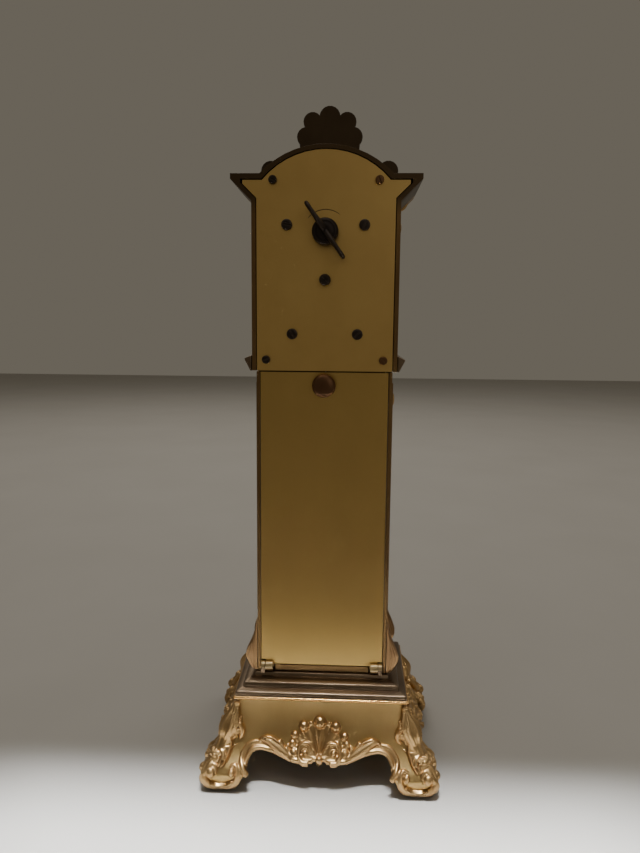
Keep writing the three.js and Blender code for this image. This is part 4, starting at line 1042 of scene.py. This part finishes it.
# ---------- pendulum
def pendulum():
    """The torsion pendulum: a turned spindle with four arms, a grooved ball under each, and the rating disc."""
    at = tuple(AXIS[:2])
    arms_z = 111
    spindle = Shape()
    profile = profile_of(
        (0, 76.5), (0.45, 76.6), (0.7, 77), (0.9, 83.7), (2.6, 84),
        [(8.6, 84), (9.2, 84.3), (9.4, 85), (9.2, 86.1), (8.6, 86.5)],
        [(8, 86.3), (5, 86.6), (2.4, 87.3), (1.3, 89), (1.2, 92)],
        (1.2, 106), [(1.4, 107), (2.6, 108), (3, 109), (3, 113), (2.8, 113.7)],
        (1.2, 113.9), (1.2, 117), [(1.4, 117.4), (2.6, 118.6), (3.4, 120.4), (3.7, 122.6), (4.6, 124.4)],
        [(4.2, 124.3), (3, 123.4), (1.5, 122.8), (1.25, 124)], (1.1, 130), (1.1, 145.6), (0, 145.7))
    turned(spindle, profile, (*at, 0), "z", 56)
    block = [(-1.5, 145.6), (-1.5, 151), (1.5, 151), (1.5, 145.6)]
    spindle.rings([[(at[0] + x, at[1] - 0.9, z) for x, z in block],
                   [(at[0] + x, at[1] + 0.9, z) for x, z in block]])
    centres = [tuple((a + b) / 2 for a, b in zip(*box_mm(f"pendulum_ball_{i + 1}"))) for i in range(4)]
    radius = (box_mm("pendulum_ball_1")[1][2] - box_mm("pendulum_ball_1")[0][2]) / 2
    for cx, cy, cz in centres:
        angle = atan2(cy - at[1], cx - at[0])
        out = hypot(cx - at[0], cy - at[1])
        rings = []
        for r, thick in flowing([(0.5, 0.9), (3, 0.9), (5, 0.75), (out - 1.4, 0.75), (out - 0.4, 1.0),
                                 (out + 0.9, 0.9), (out + 1.1, 0.3)], 3):
            rings.append([(at[0] + r * cos(angle) - thick * cos(t) * sin(angle),
                           at[1] + r * sin(angle) + thick * cos(t) * cos(angle),
                           arms_z + thick * sin(t)) for t in round_circle(16)])
        spindle.rings(rings)
        neck = cz + radius + 0.3
        turned(spindle, [(0, neck), (0.8, neck), (0.8, arms_z), (0, arms_z)], (cx, cy, 0), "z", 20)
    spindle.piece("pendulum_turned", [WHEEL], "pendulum", replaces=["pendulum_spindle"], angle=38)
    for i, (cx, cy, cz) in enumerate(centres):
        ball = Shape()
        rows = []
        for k in range(25):
            a = pi * k / 24
            groove = 0.12 * exp(-((k - 12) / 0.8) ** 2)
            rows.append((max((radius - groove) * sin(a), 0), cz - (radius - groove) * cos(a)))
        turned(ball, rows, (cx, cy, 0), "z", 48)
        ball.piece(f"pendulum_ball_{i + 1}_turned", [WHEEL], "pendulum", replaces=[f"pendulum_ball_{i + 1}"],
                   angle=60)
    low, high = box_mm("rating_disc")
    z0, z1, r = low[2], high[2], (high[0] - low[0]) / 2
    profile = [(1.6, z0, 0), (r - 0.3, z0, 0), (r, z0 + 0.25, 1), (r, z1 - 0.25, 1), (r - 0.3, z1, 0),
               (1.6, z1, 0)]
    disc = Shape()
    disc.hoop(milled(profile, 120, 0.14, lambda k: k % 2,
                     lambda r, a, z: (at[0] + r * cos(a), at[1] + r * sin(a), z)))
    disc.piece("rating_disc_milled", [WHEEL], "rating_disc", replaces=["rating_disc"], angle=30)


def suspension_spring():
    """The thin flat strip that twists between its saddle and the pendulum, made in short lengths."""
    low, high = box_mm("suspension_spring")
    corners = ((low[0], low[1]), (high[0], low[1]), (high[0], high[1]), (low[0], high[1]))
    shape = Shape()
    shape.rings([[(x, y, z) for x, y in corners] for z in np.linspace(low[2], high[2], 70)])
    mesh = bpy.data.meshes.new("suspension_strip")
    mesh.from_pydata([tuple(v * MM) for v in shape.verts], [], shape.faces)
    mesh.materials.append(STEEL)
    strip = in_scene("suspension_strip", mesh)
    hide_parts("suspension_spring")
    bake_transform(strip)


def guide_cup():
    """The post and cup on the floor of the trunk that the pendulum's tip turns in."""
    low, high = box_mm("guide_cup")
    at = tuple((low + high)[:2] / 2)
    shape = Shape()
    z0, z1 = low[2], high[2]
    profile = profile_of((0, z0), (5.6, z0), (6, z0 + 0.4), (5.8, z0 + 1.1), (4, z0 + 1.6), (2, z0 + 2.2),
                         (1.4, z0 + 3.4), (1.2, z0 + 21),
                         [(1.3, z1 - 7.4), (2.2, z1 - 6.2), (2.9, z1 - 5), (3, z1 - 0.4), (2.8, z1)],
                         (2.0, z1), (1.7, z1 - 0.3), (1.7, z1 - 4), (0, z1 - 4))
    turned(shape, profile, (*at, 0), "z", 40)
    shape.piece("guide_cup_turned", [WHEEL], replaces=["guide_cup"], angle=38)


def inner_works():
    """Plates and saddle get eased edges, and what stays as the frame has it gets its own metal."""
    for node in ("movement_front_plate", "movement_rear_plate", "suspension_saddle", "suspension_fork",
                 "base_plate"):
        refined(node, 0.12)
    for node, thing in frame["nodes"].items():
        if not thing.hide_render:
            thing.data.materials.clear()
            thing.data.materials.append(MATERIAL_OF_SLOT[SLOT_OF_NODE[node]])


# ---------- stage
def floor_paint():
    """A pale matt paint with a faint mottle."""
    material, tree, shader = blank("floor_paint")
    cloud = mottle(tree, 9.0, 0.3, 0.7, 0, 1)
    tree.links.new(mixed(tree, cloud, (0.45, 0.43, 0.395), (0.43, 0.41, 0.375)), shader.inputs["Base Color"])
    shader.inputs["Roughness"].default_value = 0.7
    return material


def studio():
    """A plain pale floor, a dim warm surround, soft lamps, and a narrow one for the floor's near side."""
    floor_mesh = bpy.data.meshes.new("floor")
    with reworked(floor_mesh) as made:
        bmesh.ops.create_grid(made, x_segments=1, y_segments=1, size=2.5)
    floor_mesh.materials.append(floor_paint())
    floor = in_scene("floor", floor_mesh)
    world = bpy.data.worlds.new("surround")
    world.use_nodes = True
    back = world.node_tree.nodes["Background"]
    back.inputs["Color"].default_value = (0.6, 0.54, 0.43, 1)
    back.inputs["Strength"].default_value = 0.24
    bpy.context.scene.world = world
    # Each lamp's place, what it aims at and its size are in metres, and its cone is in degrees.
    for name, spot, aim, size, watts, tint, cone in (
            ("overhead", (0.1, 0.35, 1.25), (0, 0, 0.1), (0.9, 0.9), 1.8, (1.0, 0.97, 0.92), 180),
            ("front_fill", (-0.9, 1.6, 0.9), (0, 0, 0.15), (1.0, 1.0), 1.8, (1.0, 0.95, 0.88), 180),
            ("pool", (0.0, 0.09, 0.36), (0, 0.083, 0), (0.34, 0.02), 0.36, (0.93, 0.96, 1.0), 22),
            ("far_side", (0.3, -1.1, 1.35), (0, 0, 0.15), (1.1, 1.1), 7.5, (1.0, 0.96, 0.9), 180),
            ("far_corner", (-1.1, -0.7, 1.2), (0, 0, 0.15), (1.0, 1.0), 2.8, (1.0, 0.96, 0.9), 180)):
        light = bpy.data.lights.new(name, "AREA")
        light.shape, light.size, light.size_y, light.energy, light.color = "RECTANGLE", *size, watts, tint
        light.spread = radians(cone)
        lamp = in_scene(name, light)
        lamp.location = spot
        lamp.rotation_euler = (Vector(aim) - Vector(spot)).to_track_quat("-Z", "Y").to_euler()


def photographer():
    """The camera stands behind the clock, a little above its trunk and to the right of it."""
    data = bpy.data.cameras.new("camera")
    data.lens, data.sensor_width = 29.46, 36  # millimetres
    data.clip_start = 0.01
    camera = in_scene("camera", data)
    camera.location = Vector((-12.66, 344.0, 221.1)) * MM
    direction, roll = Vector((0.044, -0.9881, -0.1473)), radians(0.5)
    camera.rotation_mode = "QUATERNION"
    camera.rotation_quaternion = direction.to_track_quat("-Z", "Y") @ Quaternion((0, 0, 1), roll)
    bpy.context.scene.camera = camera


# ---------- everything is made
skirt()
for side in range(4):
    for mirror in (1, -1):
        base_relief(side, mirror)
base_moulding()
guide_cup()
trunk_sides()
trunk = refined("trunk_case", 0.25, CASE)
# The trunk's rear faces below the door's foot take the dark moulding metal: a painted shadow under the door.
trunk.data.materials.append(MOULDING_AND_SHADE)
for face in trunk.data.polygons:
    face.material_index = int(face.center.z / MM < DOOR_FOOT and face.center.y / MM > DOOR_Y - 3)
for node in frame["nodes"]:
    if node.startswith("trunk_leaf"):
        trunk_leaf(node)
window_frame()
door_pieces()
hood_pieces()
hood_ornament()
crest()
screws()
winding_key()
setting_knob()
dial()
refined("hour_hand", 0.08, INK)
refined("minute_hand", 0.08, INK)
pendulum()
suspension_spring()
inner_works()
studio()
photographer()

bpy.context.view_layer.update()
